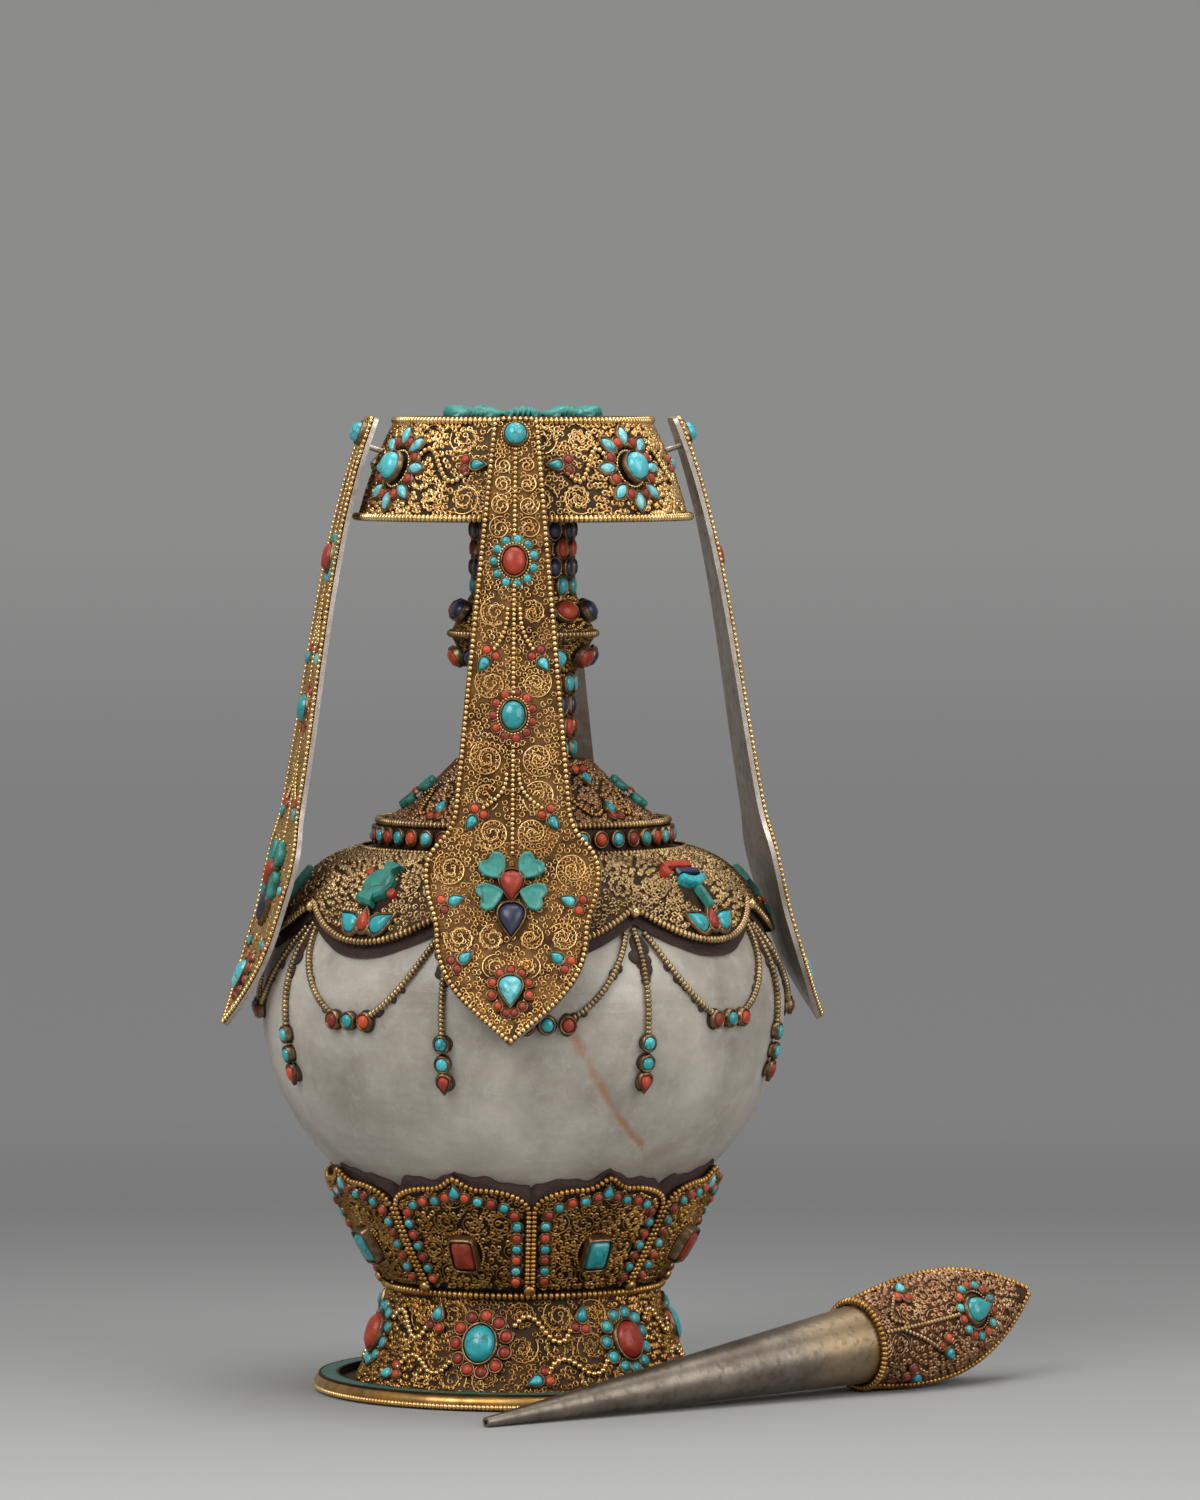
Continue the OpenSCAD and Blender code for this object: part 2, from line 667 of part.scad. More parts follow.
module lobe_cuts(drop) {
    half = dome_bottom_r * sin(180 / lobes);
    edge = [for (i = [-steps:steps]) [half * i / steps, lobe_edge(1 - abs(i) / steps) - drop]];
    below = z_lobe - 2 * lac_show;
    for (i = [0:lobes - 1])
        radial_cut(lobe_az + (i + 0.5) * 360 / lobes, concat(edge, [[half, below], [-half, below]]));
}

module shoulder_dome() {
    flange_r = band_r - bezel_h - dome_t;
    color(dark_gold) difference() {
        turned(concat(bez_line(dome_curve, 0), [[flange_r, z_dome], [flange_r, z_dome - dome_t]],
            rev(bez_line(dome_curve, -dome_t))));
        lobe_cuts(0);
    }
}

module shoulder_lac_bedding() {
    low = z_lobe - lac_show;
    high = z_lobe + dome_h * 0.55;
    inside = [for (i = [0:steps]) let (z = low + (high - low) * i / steps) [belly_at(z) + solder, z]];
    top_t = bez_at(dome_curve, high);
    outside = [for (i = [0:steps]) let (t = top_t * i / steps)
        bez(dome_curve, t) - (dome_t + nest) * outward(bez_dir(dome_curve, t))];
    color(lac) difference() {
        turned(concat([[belly_at(low) + lac_gap + solder, low]], outside, rev(inside)));
        lobe_cuts(lac_show);
    }
}

module shoulder_edge_wire() {
    lift = dome_wire_r + 2 * solder;
    half = 180 / lobes;
    per_lobe = 14;
    function spot(turn) = let (off = abs((turn + half + 360) % (2 * half) - half),
        s = sin(half - off) / sin(half), z = lobe_edge(1 - s) + dome_wire_r,
        t = bez_at(dome_curve, z), p = bez(dome_curve, t) + lift * outward(bez_dir(dome_curve, t)))
        ring_point(p[0], turn, p[1]);
    color(gold) rotate([0, 0, lobe_az])
        wire([for (i = [0:per_lobe * lobes - 1]) spot(360 * i / per_lobe / lobes)], dome_wire_r, true);
}

// Carved signs of good fortune on the lobes, as outlines across and up
module symbol_shape(i) {
    if (i == 0) {
        for (a = [-45, 0, 45]) rotate(a) translate([0, 2]) circle(1.9);
        translate([0, -1.6]) square([5, 2.4], center = true);
    }
    if (i == 1) {
        difference() {
            circle(4.8);
            translate([-6, -12]) square([12, 12]);
        }
        translate([0, -1.6]) square([1.4, 5.6], center = true);
    }
    if (i == 2) {
        difference() {
            circle(4.4);
            circle(2);
        }
    }
    if (i == 3) {
        for (side = [-1, 1]) translate([2 * side, 0]) polygon([for (p = oval(3, 9)) [p[1], p[0]]]);
    }
    if (i == 4) {
        difference() {
            rotate(45) square(6.6, center = true);
            rotate(45) square(2.4, center = true);
        }
    }
    if (i == 5) {
        circle(2.8);
        translate([0, -3]) square([2.2, 5], center = true);
        translate([0, 3]) square([1.4, 3], center = true);
    }
    if (i == 6) {
        square([4.4, 7], center = true);
        translate([0, 4]) circle(1.6);
    }
    if (i == 7) {
        circle(2.8);
        translate([0, 1.4]) square([2.4, 5], center = true);
        translate([0, 4]) square([4.8, 1.2], center = true);
        translate([0, -3.4]) square([4.6, 1.6], center = true);
    }
}

symbol_t = 0.36;
symbol_h = 2;
trio_t = 0.11;
trio_spread = 3.4;
trio_d = 3.2;

module shoulder_turquoise_symbols() {
    color(turquoise) for (i = [0:lobes - 1]) {
        az = lobe_az + i * 360 / lobes;
        on_curve(dome_curve, symbol_t, az) rotate([0, 0, 90]) linear_extrude(symbol_h) symbol_shape(i % 8);
        for (side = [-1, 1])
            on_curve(dome_curve, trio_t, az + side * trio_spread) round_stone(trio_d, 1.5);
    }
}

module shoulder_coral_drops() {
    color(coral) for (i = [0:lobes - 1])
        on_curve(dome_curve, trio_t, lobe_az + i * 360 / lobes) round_stone(trio_d, 1.9);
}

// Garland of strands and stone cups that lies on the crystal under each lobe
function on_belly(az, z, lift) = let (tilt = belly_lift(z))
    ring_point(belly_at(z) + lift * cos(tilt), az, z + lift * sin(tilt));
strand_lift = strand_r + 2 * solder;
swag_z = z_belly - swag_drop;
swag_top = z_cusp - lac_show - 3;
swag_start = 2.6;
swag_stone_step = 4.4;
swag_stop = swag_stone_step + 3;
pendant_step = 5;
pendant_top = z_cusp - lac_show - 2;
pendant_low = z_belly - pendant_drop;
pendant_end = pendant_low + 2 * pendant_step + garland_cup_r + 0.6;
cusp_step = 360 / lobes;

module garland_strands() {
    half = cusp_step / 2;
    // A swag hangs in an even curve from its cusp to the stones at its middle
    function swag_point(turn) = let (s = (half - turn) / (half - swag_start))
        on_belly(turn, swag_z + (swag_top - swag_z) * s * s, strand_lift);
    color(gold) for (i = [0:lobes - 1]) rotate([0, 0, lobe_az + (i + 0.5) * cusp_step]) {
        for (side = [0, 1]) mirror([0, side, 0])
            wire([for (k = [0:9]) swag_point(swag_start + (half - swag_stop - swag_start) * k / 9)],
                strand_r, false);
        wire([for (k = [0:7]) on_belly(0, pendant_top + (pendant_end - pendant_top) * k / 7, strand_lift)],
            strand_r, false);
    }
}

module swag_places(which) {
    for (i = [0:lobes - 1], k = which)
        on_crystal(lobe_az + i * cusp_step + k * swag_stone_step, swag_z) children();
}

module pendant_places(which) {
    for (i = [0:lobes - 1], k = which)
        on_crystal(lobe_az + (i + 0.5) * cusp_step, pendant_low + k * pendant_step) children();
}

module garland_cups() {
    color(gold) {
        swag_places([-1, 0, 1]) cylinder(r = garland_cup_r, h = garland_cup_h);
        pendant_places([0, 1, 2]) cylinder(r = garland_cup_r, h = garland_cup_h);
    }
}

module garland_stone() {
    translate([0, 0, garland_cup_h + solder]) round_stone(2 * garland_cup_r - 0.6, 1.7);
}

module garland_turquoise_stones() {
    color(turquoise) {
        swag_places([0]) garland_stone();
        pendant_places([1, 2]) garland_stone();
    }
}

module garland_coral_stones() {
    color(coral) {
        swag_places([-1, 1]) garland_stone();
        pendant_places([0]) garland_stone();
    }
}

// Tier above the dome: a band of stones and a bell with flowers
module stone_band() {
    color(gold) tube(band_r, band_r - bezel_h, z_band + solder, band_h - 2 * solder);
}

flower_az = [front + 2, front + 92, front + 182, front + 272];
flower_t = 0.5;
flower_petal_d = 6;
flower_turn = 9;
flower_rise = 0.15;
flower_heart_d = 3;
band_stone_up = 0.4;

module band_row(first) {
    for (i = [first:2:band_stones - 1])
        rotate([0, 0, front + i * 360 / band_stones])
            translate([band_r + solder, 0, z_band + band_h / 2 + band_stone_up])
            rotate([0, 90, 0]) round_stone(band_stone_d, band_stone_d / 2);
}

module tier_coral_stones() {
    color(coral) {
        band_row(0);
        for (az = flower_az) on_curve(bell_curve, flower_t, az, 0.8)
            round_stone(flower_heart_d, flower_heart_d * 0.7);
    }
}

module tier_turquoise_stones() {
    color(turquoise) {
        band_row(1);
        for (az = flower_az, side = [-1, 1], up = [-1, 1])
            on_curve(bell_curve, flower_t + up * flower_rise, az + side * flower_turn, 0.4)
                round_stone(flower_petal_d, flower_petal_d * 0.3);
    }
}

module tier_bell() {
    hole = liner_r + nest;
    color(dark_gold) turned(concat(bez_line(bell_curve, 0),
        [[hole, z_lower_neck], [hole, z_lower_neck - bell_t]],
        rev([for (p = bez_line(bell_curve, -bell_t)) [p[0], min(max(p[1], z_bell), z_lower_neck - bell_t)]])));
}

// Rope wires at the tier's foot, the tier's edge and the knop's widest line
module neck_ring_wires() {
    foot_wire = 0.55;
    foot_at = bez(dome_curve, 0.9) + (foot_wire + solder) * outward(bez_dir(dome_curve, 0.9));
    color(gold) {
        hoop(foot_at[0], foot_at[1], foot_wire);
        hoop(bell_bottom_r + tier_wire_r + 0.3, z_bell + tier_wire_r, tier_wire_r);
        hoop(knop_r + knop_wire_r + solder, z_knop + knop_h / 2, knop_wire_r);
    }
}

// Neck: a plain liner tube with stone-set sleeves and a knop threaded on it
module neck_liner() {
    low = z_crystal_top - liner_reach;
    color(dark_gold) tube(liner_r, mouth_r, low, z_deck - low);
}

module sleeve(z, h) {
    color(dark_gold) tube(sleeve_r, liner_r + nest, z + solder, h - 2 * solder);
}

module lower_neck_sleeve() {
    sleeve(z_lower_neck, lower_neck_h);
}

module upper_neck_sleeve() {
    sleeve(z_upper_neck, upper_neck_h);
}

knop_mid = z_knop + knop_h / 2;
knop_end_r = sleeve_r + 1.2;
knop_flat = knop_wire_r + 0.3;
function straight(a, b) = [a, (a + b) / 2, b];
knop_low_face = straight([knop_end_r, z_knop + 0.6], [knop_r, knop_mid - knop_flat]);
knop_high_face = straight([knop_r, knop_mid + knop_flat], [knop_end_r, z_upper_neck - 0.6]);

module knop() {
    hole = liner_r + nest;
    color(dark_gold) turned([[hole, z_knop], [knop_end_r, z_knop], knop_low_face[0], knop_low_face[2],
        knop_high_face[0], knop_high_face[2], [knop_end_r, z_upper_neck], [hole, z_upper_neck]]);
}

module knop_row(face, which) {
    first = front + (face == knop_low_face ? 28 : 4);
    for (i = which) on_curve(face, 0.5, first + i * 360 / knop_stones) rotate([0, 0, 90]) children();
}

module neck_row(z, h, row, columns) {
    for (i = [0:columns - 1])
        rotate([0, 0, front + (i + row % 2 / 2) * 360 / columns])
            translate([sleeve_r + solder, 0, z + h * (row + 0.5) / neck_rows]) rotate([0, 90, 0])
                round_stone(neck_stone_d, 1.6);
}

module lower_row(row) {
    neck_row(z_lower_neck, lower_neck_h, row, neck_columns);
}

module upper_row(row) {
    neck_row(z_upper_neck, upper_neck_h, row, neck_columns);
}

module knop_oval() {
    oval_stone(knop_stone[0], knop_stone[1]);
}

all_knop = [0:knop_stones - 1];
odd_knop = [1:2:knop_stones - 1];
even_knop = [0:2:knop_stones - 1];

module neck_coral_stones() {
    color(coral) {
        lower_row(1);
        upper_row(2);
        knop_row(knop_high_face, odd_knop) knop_oval();
        knop_row(knop_low_face, [1:3:knop_stones - 1]) knop_oval();
    }
}

module neck_turquoise_stones() {
    color(turquoise) {
        lower_row(0);
        lower_row(3);
        upper_row(0);
        knop_row(knop_low_face, [0:3:knop_stones - 1]) knop_oval();
    }
}

module neck_lapis_stones() {
    color(lapis) {
        lower_row(2);
        upper_row(1);
        upper_row(3);
        knop_row(knop_high_face, even_knop) knop_oval();
        knop_row(knop_low_face, [2:3:knop_stones - 1]) knop_oval();
    }
}

// Crown
module stud_axis(az) {
    rotate([0, 0, az]) translate([stud_point[0], 0, stud_point[1]]) rotate([0, 90 - stud_lift, 0]) children();
}

module crown_band() {
    deep = stud_wall + crown_t + 4;
    color(gold) difference() {
        shell(crown_curve, crown_t);
        for (az = lappet_az) stud_axis(az) translate([0, 0, -deep]) cylinder(r = stud_r + stud_run, h = deep);
    }
}

crown_plate_t = 1.2;
function crown_inside(z) = bez_r(crown_curve, z) - 1.12 * crown_t - solder;

module crown_deck() {
    low = z_deck - crown_plate_t;
    color(gold) tube(crown_inside(z_deck), liner_r + nest, low, crown_plate_t);
}

module crown_floor() {
    low = z_crown + solder;
    color(silver) tube(crown_inside(low + crown_plate_t), liner_r + nest, low, crown_plate_t);
}

module crown_wires() {
    gap = crown_wire_r + solder;
    color(gold) {
        hoop(crown_bottom_r + gap, z_crown + crown_wire_r, crown_wire_r);
        hoop(bez_r(crown_curve, z_deck - 2 * crown_wire_r) + gap, z_deck - crown_wire_r, crown_wire_r);
    }
}

crown_stone_t = 0.5;

module crown_places() {
    for (az = crown_az) on_curve(crown_curve, crown_stone_t, az) children();
}

module upper_bezels() {
    color(gold) {
        crown_places() oval_bezel(crown_stone[0], crown_stone[1]);
        knop_row(knop_low_face, all_knop) oval_bezel(knop_stone[0], knop_stone[1]);
        knop_row(knop_high_face, all_knop) oval_bezel(knop_stone[0], knop_stone[1]);
    }
}

module crown_turquoise_stones() {
    color(turquoise) crown_places() oval_stone(crown_stone[0], crown_stone[1]);
}

module mouth_petals() {
    r_in = liner_r + 1;
    mid = (r_in + mouth_petal_r) / 2;
    half = (mouth_petal_r - r_in) / 2;
    petal_r = mid * sin(180 / mouth_petals_n) - 0.15;
    color(turquoise) translate([0, 0, z_deck + solder]) for (i = [0:mouth_petals_n - 1]) intersection() {
        turned(concat([[r_in, 0], [mouth_petal_r, 0]],
            [for (a = [0:20:180]) [mid + half * cos(a), mouth_petal_h * (0.3 + 0.7 * sin(a))]]));
        rotate([0, 0, front + i * 360 / mouth_petals_n]) translate([mid, 0, -1]) cylinder(r = petal_r, h = 9);
    }
}

// Lappets, each built facing +X and then turned to its side of the crown
lappet_top_stone = 5.2;
lappet_oval = [6, 7.3];
rosette_drop = [36.9, 75.8];
top_stone_drop = 4.6;
low_rosette_h = 12.7;
flower_h = 39.1;
flower_reach = [[4.3, 5], [5.7, -3]];
lappet_petal_d = 6;
lapis_h = 30;
lapis_oval = [5.2, 6.6];

module lappet_sheet() {
    outline = concat(half_outline, mirrored(half_outline));
    intersection() {
        rotate([90, 0, 0]) linear_extrude(2 * leaf_w, center = true)
            polygon(concat(lappet_face(lappet_t / 2), rev(lappet_face(-lappet_t / 2))));
        rotate([90, 0, 90]) linear_extrude(2 * cut_reach)
            polygon([for (p = outline) [p[0], p[1] + lappet_tip_z + edge_trim]]);
    }
}

module lappet_stud() {
    length = stud_wall + crown_t + stud_gap;
    stud_axis(0) {
        translate([0, 0, -length - crown_t]) cylinder(r = stud_r, h = length + crown_t);
        translate([0, 0, -length - crown_t]) cylinder(r = stud_head_r, h = crown_t);
    }
}

module lappet_border() {
    lift = lappet_t / 2 + border_r + 2 * solder;
    inset = border_r;
    path = concat(leaf_side, stem_side, stem_end);
    round_path = concat(path, mirrored(path));
    tip_half = 1.6 * border_r;
    function spot(p) = let (z = lappet_tip_z + edge_trim + min(max(p[1], 2 * inset), outline_l - inset),
        t = lappet_at(z), q = cubic(lappet_curve, t) + lift * lappet_out(t))
        [q[0], sign(p[0]) * max(abs(p[0]) - inset, tip_half), q[1]];
    wire([for (p = round_path) spot(p)], border_r, true);
}

module lappet_plate() {
    color(gold) {
        union() {
            lappet_sheet();
            lappet_stud();
        }
        lappet_border();
        for (drop = rosette_drop) on_lappet(0, lappet_l - drop) oval_bezel(lappet_oval[0], lappet_oval[1]);
        on_lappet(0, low_rosette_h) oval_bezel(lappet_oval[0], lappet_oval[1]);
    }
}

module lappet_turquoise() {
    color(turquoise) {
        on_lappet(0, lappet_l - top_stone_drop) round_stone(lappet_top_stone, 2.4);
        on_lappet(0, lappet_l - rosette_drop[1]) oval_stone(lappet_oval[0], lappet_oval[1]);
        on_lappet(0, low_rosette_h) oval_stone(lappet_oval[0], lappet_oval[1]);
        for (reach = flower_reach, side = [-1, 1])
            on_lappet(side * reach[0], flower_h + reach[1]) round_stone(lappet_petal_d, 1.7);
    }
}

module lappet_coral() {
    color(coral) {
        on_lappet(0, lappet_l - rosette_drop[0]) oval_stone(lappet_oval[0], lappet_oval[1]);
        on_lappet(0, flower_h) oval_stone(lappet_oval[0] - 1, lappet_oval[1] - 1);
    }
}

module lappet_lapis() {
    color(lapis) on_lappet(0, lapis_h) oval_stone(lapis_oval[0], lapis_oval[1]);
}

// Stopper, built with its tip at the origin and its axis along +X, then laid on the floor
module laid() {
    translate([stopper_tip[0], stopper_tip[1], spout_tip_r]) rotate([0, -stopper_lift, stopper_az]) children();
}

module spout_tube() {
    color(silver) laid() rotate([0, 90, 0]) turned([[spout_hole_r, 0], [spout_tip_r, 0], [spout_end_r, spout_l],
        [spout_end_r - spout_t, spout_l], [spout_hole_r, spout_t * 4]]);
}

module spout_collar_wire() {
    color(gold) laid() rotate([0, 90, 0]) hoop(collar_r, spout_l - collar_wire_r, collar_wire_r);
}

// Half height and half thickness of the bud along its length
bud_full_at = 0.37;
bud_base_r = spout_end_r + 0.4;
function bud_tall(u) = u < bud_full_at
    ? bud_base_r + (bud_r - bud_base_r) * sin(90 * u / bud_full_at)
    : bud_r * (1 - pow((u - bud_full_at) / (1 - bud_full_at), 2.2));
function bud_thick(u) = bud_base_r * (1 - u * u);
function bud_bend(u) = bud_rise * u * u;

module bud_form(inset, far) {
    rings = 14;
    sides = 24;
    function section(u) = [for (k = [0:sides - 1]) let (a = 360 * k / sides, keen = 1 + 0.5 * u)
        [u * bud_l, max(bud_thick(u) - inset, 0.3) * sign(cos(a)) * pow(abs(cos(a)), keen),
            max(bud_tall(u) - inset, 0.3) * sin(a) + bud_bend(u)]];
    points = [for (i = [0:rings]) each section(far * i / rings)];
    walls = [for (i = [0:rings - 1], k = [0:sides - 1]) let (m = (k + 1) % sides, a = i * sides, b = a + sides)
        each [[a + k, b + k, b + m], [a + k, b + m, a + m]]];
    ends = [[for (k = [0:sides - 1]) k], [for (k = [sides - 1:-1:0]) rings * sides + k]];
    polyhedron(points, concat(walls, ends));
}

module bud_shell() {
    color(gold) laid() translate([spout_l + solder, 0, 0]) rotate([-bud_roll, 0, 0]) difference() {
        bud_form(0, 0.98);
        translate([-0.1, 0, 0]) bud_form(bud_t, 0.86);
    }
}

bud_stone_at = 0.58;

module bud_turquoise_stones() {
    color(turquoise) laid() rotate([-bud_roll, 0, 0]) for (side = [-1, 1]) {
        tilt = atan2(bud_thick(bud_stone_at - 0.08) - bud_thick(bud_stone_at + 0.08), 0.16 * bud_l);
        translate([spout_l + bud_stone_at * bud_l, side * (bud_thick(bud_stone_at) + 0.3),
            bud_bend(bud_stone_at)])
            rotate([-90 * side, 0, 0]) rotate([0, tilt, 0]) oval_stone(bud_stone[0], bud_stone[1]);
    }
}

base_plate();
base_rim_band();
base_inlay_ring();
foot_skirt();
base_bezels();
base_coral_stones();
base_turquoise_stones();
waist_wire();
petal_cup();
petal_border_wires();
cup_lac_bedding();
crystal_bowl();
shoulder_lac_bedding();
shoulder_dome();
shoulder_edge_wire();
shoulder_turquoise_symbols();
shoulder_coral_drops();
garland_strands();
garland_cups();
garland_turquoise_stones();
garland_coral_stones();
stone_band();
tier_coral_stones();
tier_turquoise_stones();
tier_bell();
neck_ring_wires();
neck_liner();
lower_neck_sleeve();
knop();
upper_bezels();
upper_neck_sleeve();
neck_coral_stones();
neck_turquoise_stones();
neck_lapis_stones();
crown_band();
crown_deck();
crown_floor();
crown_wires();
crown_turquoise_stones();
mouth_petals();
rotate([0, 0, lappet_az[0]]) lappet_plate();  // front_lappet_plate
rotate([0, 0, lappet_az[0]]) lappet_turquoise();  // front_lappet_turquoise
rotate([0, 0, lappet_az[0]]) lappet_coral();  // front_lappet_coral
rotate([0, 0, lappet_az[0]]) lappet_lapis();  // front_lappet_lapis
rotate([0, 0, lappet_az[1]]) lappet_plate();  // right_lappet_plate
rotate([0, 0, lappet_az[1]]) lappet_turquoise();  // right_lappet_turquoise
rotate([0, 0, lappet_az[1]]) lappet_coral();  // right_lappet_coral
rotate([0, 0, lappet_az[1]]) lappet_lapis();  // right_lappet_lapis
rotate([0, 0, lappet_az[2]]) lappet_plate();  // back_lappet_plate
rotate([0, 0, lappet_az[2]]) lappet_turquoise();  // back_lappet_turquoise
rotate([0, 0, lappet_az[2]]) lappet_coral();  // back_lappet_coral
rotate([0, 0, lappet_az[2]]) lappet_lapis();  // back_lappet_lapis
rotate([0, 0, lappet_az[3]]) lappet_plate();  // left_lappet_plate
rotate([0, 0, lappet_az[3]]) lappet_turquoise();  // left_lappet_turquoise
rotate([0, 0, lappet_az[3]]) lappet_coral();  // left_lappet_coral
rotate([0, 0, lappet_az[3]]) lappet_lapis();  // left_lappet_lapis
spout_tube();
spout_collar_wire();
bud_shell();
bud_turquoise_stones();
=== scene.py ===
import bpy
import math
import random
import numpy as np
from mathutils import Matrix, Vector


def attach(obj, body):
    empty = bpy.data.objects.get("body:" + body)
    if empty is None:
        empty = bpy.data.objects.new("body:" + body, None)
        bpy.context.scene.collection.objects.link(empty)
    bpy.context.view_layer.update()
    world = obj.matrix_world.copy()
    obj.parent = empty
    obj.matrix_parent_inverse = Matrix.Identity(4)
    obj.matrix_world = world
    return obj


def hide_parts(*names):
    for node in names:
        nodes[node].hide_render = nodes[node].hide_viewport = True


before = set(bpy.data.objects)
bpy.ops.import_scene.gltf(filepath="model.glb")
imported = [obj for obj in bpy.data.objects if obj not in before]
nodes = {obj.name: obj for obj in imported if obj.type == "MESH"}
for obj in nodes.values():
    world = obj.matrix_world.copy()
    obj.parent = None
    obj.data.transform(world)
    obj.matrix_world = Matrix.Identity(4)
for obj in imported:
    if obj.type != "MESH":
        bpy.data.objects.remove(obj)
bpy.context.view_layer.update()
scene = bpy.context.scene
scene.view_settings.view_transform = "Standard"
print("frame loaded:", len(nodes), "nodes")

mm = 0.001
front = 270.0  # the turn that faces the camera, in degrees


class Specs(dict):
    # a dictionary whose entries are read with a dot
    __getattr__ = dict.__getitem__


# node trees: one socket wrapper for shaders and geometry
class Val:
    def __init__(self, tree, socket=None):
        self.tree = tree
        self.socket = socket

    def node(self, kind, settings=None, sockets=None, out=0):
        made = self.tree.nodes.new(kind)
        for key, value in (settings or {}).items():
            if key == "stops":
                while len(made.color_ramp.elements) < len(value):
                    made.color_ramp.elements.new(0.5)
                for element, (place, colour) in zip(made.color_ramp.elements, value):
                    element.position = place
                    element.color = rgb(*colour)
            else:
                setattr(made, key, value)
        for key, value in (sockets or {}).items():
            if isinstance(value, Val):
                self.tree.links.new(value.socket, made.inputs[key])
            else:
                made.inputs[key].default_value = value
        return Val(self.tree, made.outputs[out])

    def math(self, operation, first, second):
        return self.node("ShaderNodeMath", {"operation": operation}, {0: first, 1: second})

    def __add__(self, other):
        return self.math("ADD", self, other)

    def __radd__(self, other):
        return self.math("ADD", other, self)

    def __sub__(self, other):
        return self.math("SUBTRACT", self, other)

    def __rsub__(self, other):
        return self.math("SUBTRACT", other, self)

    def __mul__(self, other):
        return self.math("MULTIPLY", self, other)

    def __rmul__(self, other):
        return self.math("MULTIPLY", other, self)

    def clamp(self, low, high):
        return self.math("MINIMUM", self.math("MAXIMUM", self, low), high)

    def ramp(self, low, high):
        return ((self - low) * (1.0 / (high - low))).clamp(0.0, 1.0)

    def mix(self, first, second):
        return self.node("ShaderNodeMix", {"data_type": "RGBA"}, {0: self, 6: first, 7: second}, 2)


def rgb(r, g, b):
    return (r, g, b, 1.0)


class Finish:
    # a Principled material under construction
    def __init__(self, name, **plain):
        self.material = bpy.data.materials.new(name)
        self.material.use_nodes = True
        self.val = Val(self.material.node_tree)
        self.shader = self.material.node_tree.nodes["Principled BSDF"]
        self.place = self.val.node("ShaderNodeTexCoord", out="Object")
        for key, value in plain.items():
            self.shader.inputs[key.replace("_", " ")].default_value = value

    def noise(self, scale, detail=3.0, rough=0.5, at=None, out="Fac"):
        return self.val.node("ShaderNodeTexNoise", {}, {"Vector": at or self.place, "Scale": scale,
                             "Detail": detail, "Roughness": rough}, out)

    def cells(self, scale, feature="F1", at=None):
        return self.val.node("ShaderNodeTexVoronoi", {"feature": feature},
                             {"Vector": at or self.place, "Scale": scale}, "Distance")

    def vector(self, operation, sockets, out=0):
        return self.val.node("ShaderNodeVectorMath", {"operation": operation}, sockets, out)

    def warp(self, scale, amount):
        drift = self.vector("SUBTRACT", {0: self.noise(scale, 2.0, out="Color"), 1: (0.5, 0.5, 0.5)})
        return self.vector("ADD", {0: self.place, 1: self.vector("SCALE", {0: drift, "Scale": amount})})

    def axis(self, which, at=None):
        return self.val.node("ShaderNodeSeparateXYZ", {}, {0: at or self.place}, which)

    def shades(self, stops, level):
        return self.val.node("ShaderNodeValToRGB", {"stops": stops}, {"Fac": level})

    def tone(self):
        return self.val.node("ShaderNodeAttribute", {"attribute_name": "tone"}, {}, "Fac")

    def feed(self, socket, value):
        self.material.node_tree.links.new(value.socket, self.shader.inputs[socket])

    def bump(self, height, distance, strength=1.0):
        sockets = {"Height": height, "Distance": distance, "Strength": strength}
        self.feed("Normal", self.val.node("ShaderNodeBump", {}, sockets))


# finishes: noise scales are per metre, bump distances in metres
grainScale = 2600.0  # the fine grain of worn gilding


def giltFinish(name, look):
    f = Finish(name, Metallic=1.0)
    patches = f.noise(look.patch, 4.0, 0.6).ramp(0.35, 0.68)
    grain = f.noise(grainScale, 2.0)
    rub = f.noise(look.patch * 3.1, 3.0).ramp(0.45, 0.7)
    colour = patches.mix(rgb(*look.dark), rgb(*look.bright))
    f.feed("Base Color", (rub * 0.45).mix(colour, rgb(*look.rubbed)))
    f.feed("Roughness", (look.rough + grain * 0.16 - rub * 0.08).clamp(0.12, 0.9))
    f.bump(grain, 0.00006, 0.5)
    return f.material


giltLooks = Specs(brightWire=Specs(dark=(0.74, 0.425, 0.145), bright=(0.96, 0.64, 0.27), rubbed=(1.0, 0.80, 0.44),
    patch=90.0, rough=0.24), beadGold=Specs(dark=(0.56, 0.34, 0.12), bright=(0.82, 0.57, 0.24),
    rubbed=(0.98, 0.79, 0.45), patch=70.0, rough=0.2), dullWire=Specs(dark=(0.26, 0.16, 0.075),
    bright=(0.50, 0.335, 0.155), rubbed=(0.76, 0.54, 0.28), patch=70.0, rough=0.3),
    brownWire=Specs(dark=(0.28, 0.145, 0.042), bright=(0.60, 0.318, 0.085), rubbed=(0.84, 0.54, 0.20), patch=80.0,
    rough=0.3), budWire=Specs(dark=(0.235, 0.118, 0.058), bright=(0.50, 0.275, 0.13), rubbed=(0.74, 0.51, 0.32),
    patch=80.0, rough=0.3), strandBrass=Specs(dark=(0.18, 0.12, 0.065), bright=(0.42, 0.30, 0.155),
    rubbed=(0.62, 0.47, 0.26), patch=120.0, rough=0.28), bezelBrass=Specs(dark=(0.09, 0.055, 0.032),
    bright=(0.24, 0.145, 0.075), rubbed=(0.5, 0.33, 0.16), patch=200.0, rough=0.32))
brightWire, beadGold, dullWire, brownWire, budWire, strandBrass, bezelBrass = (
    giltFinish(name, look) for name, look in giltLooks.items())


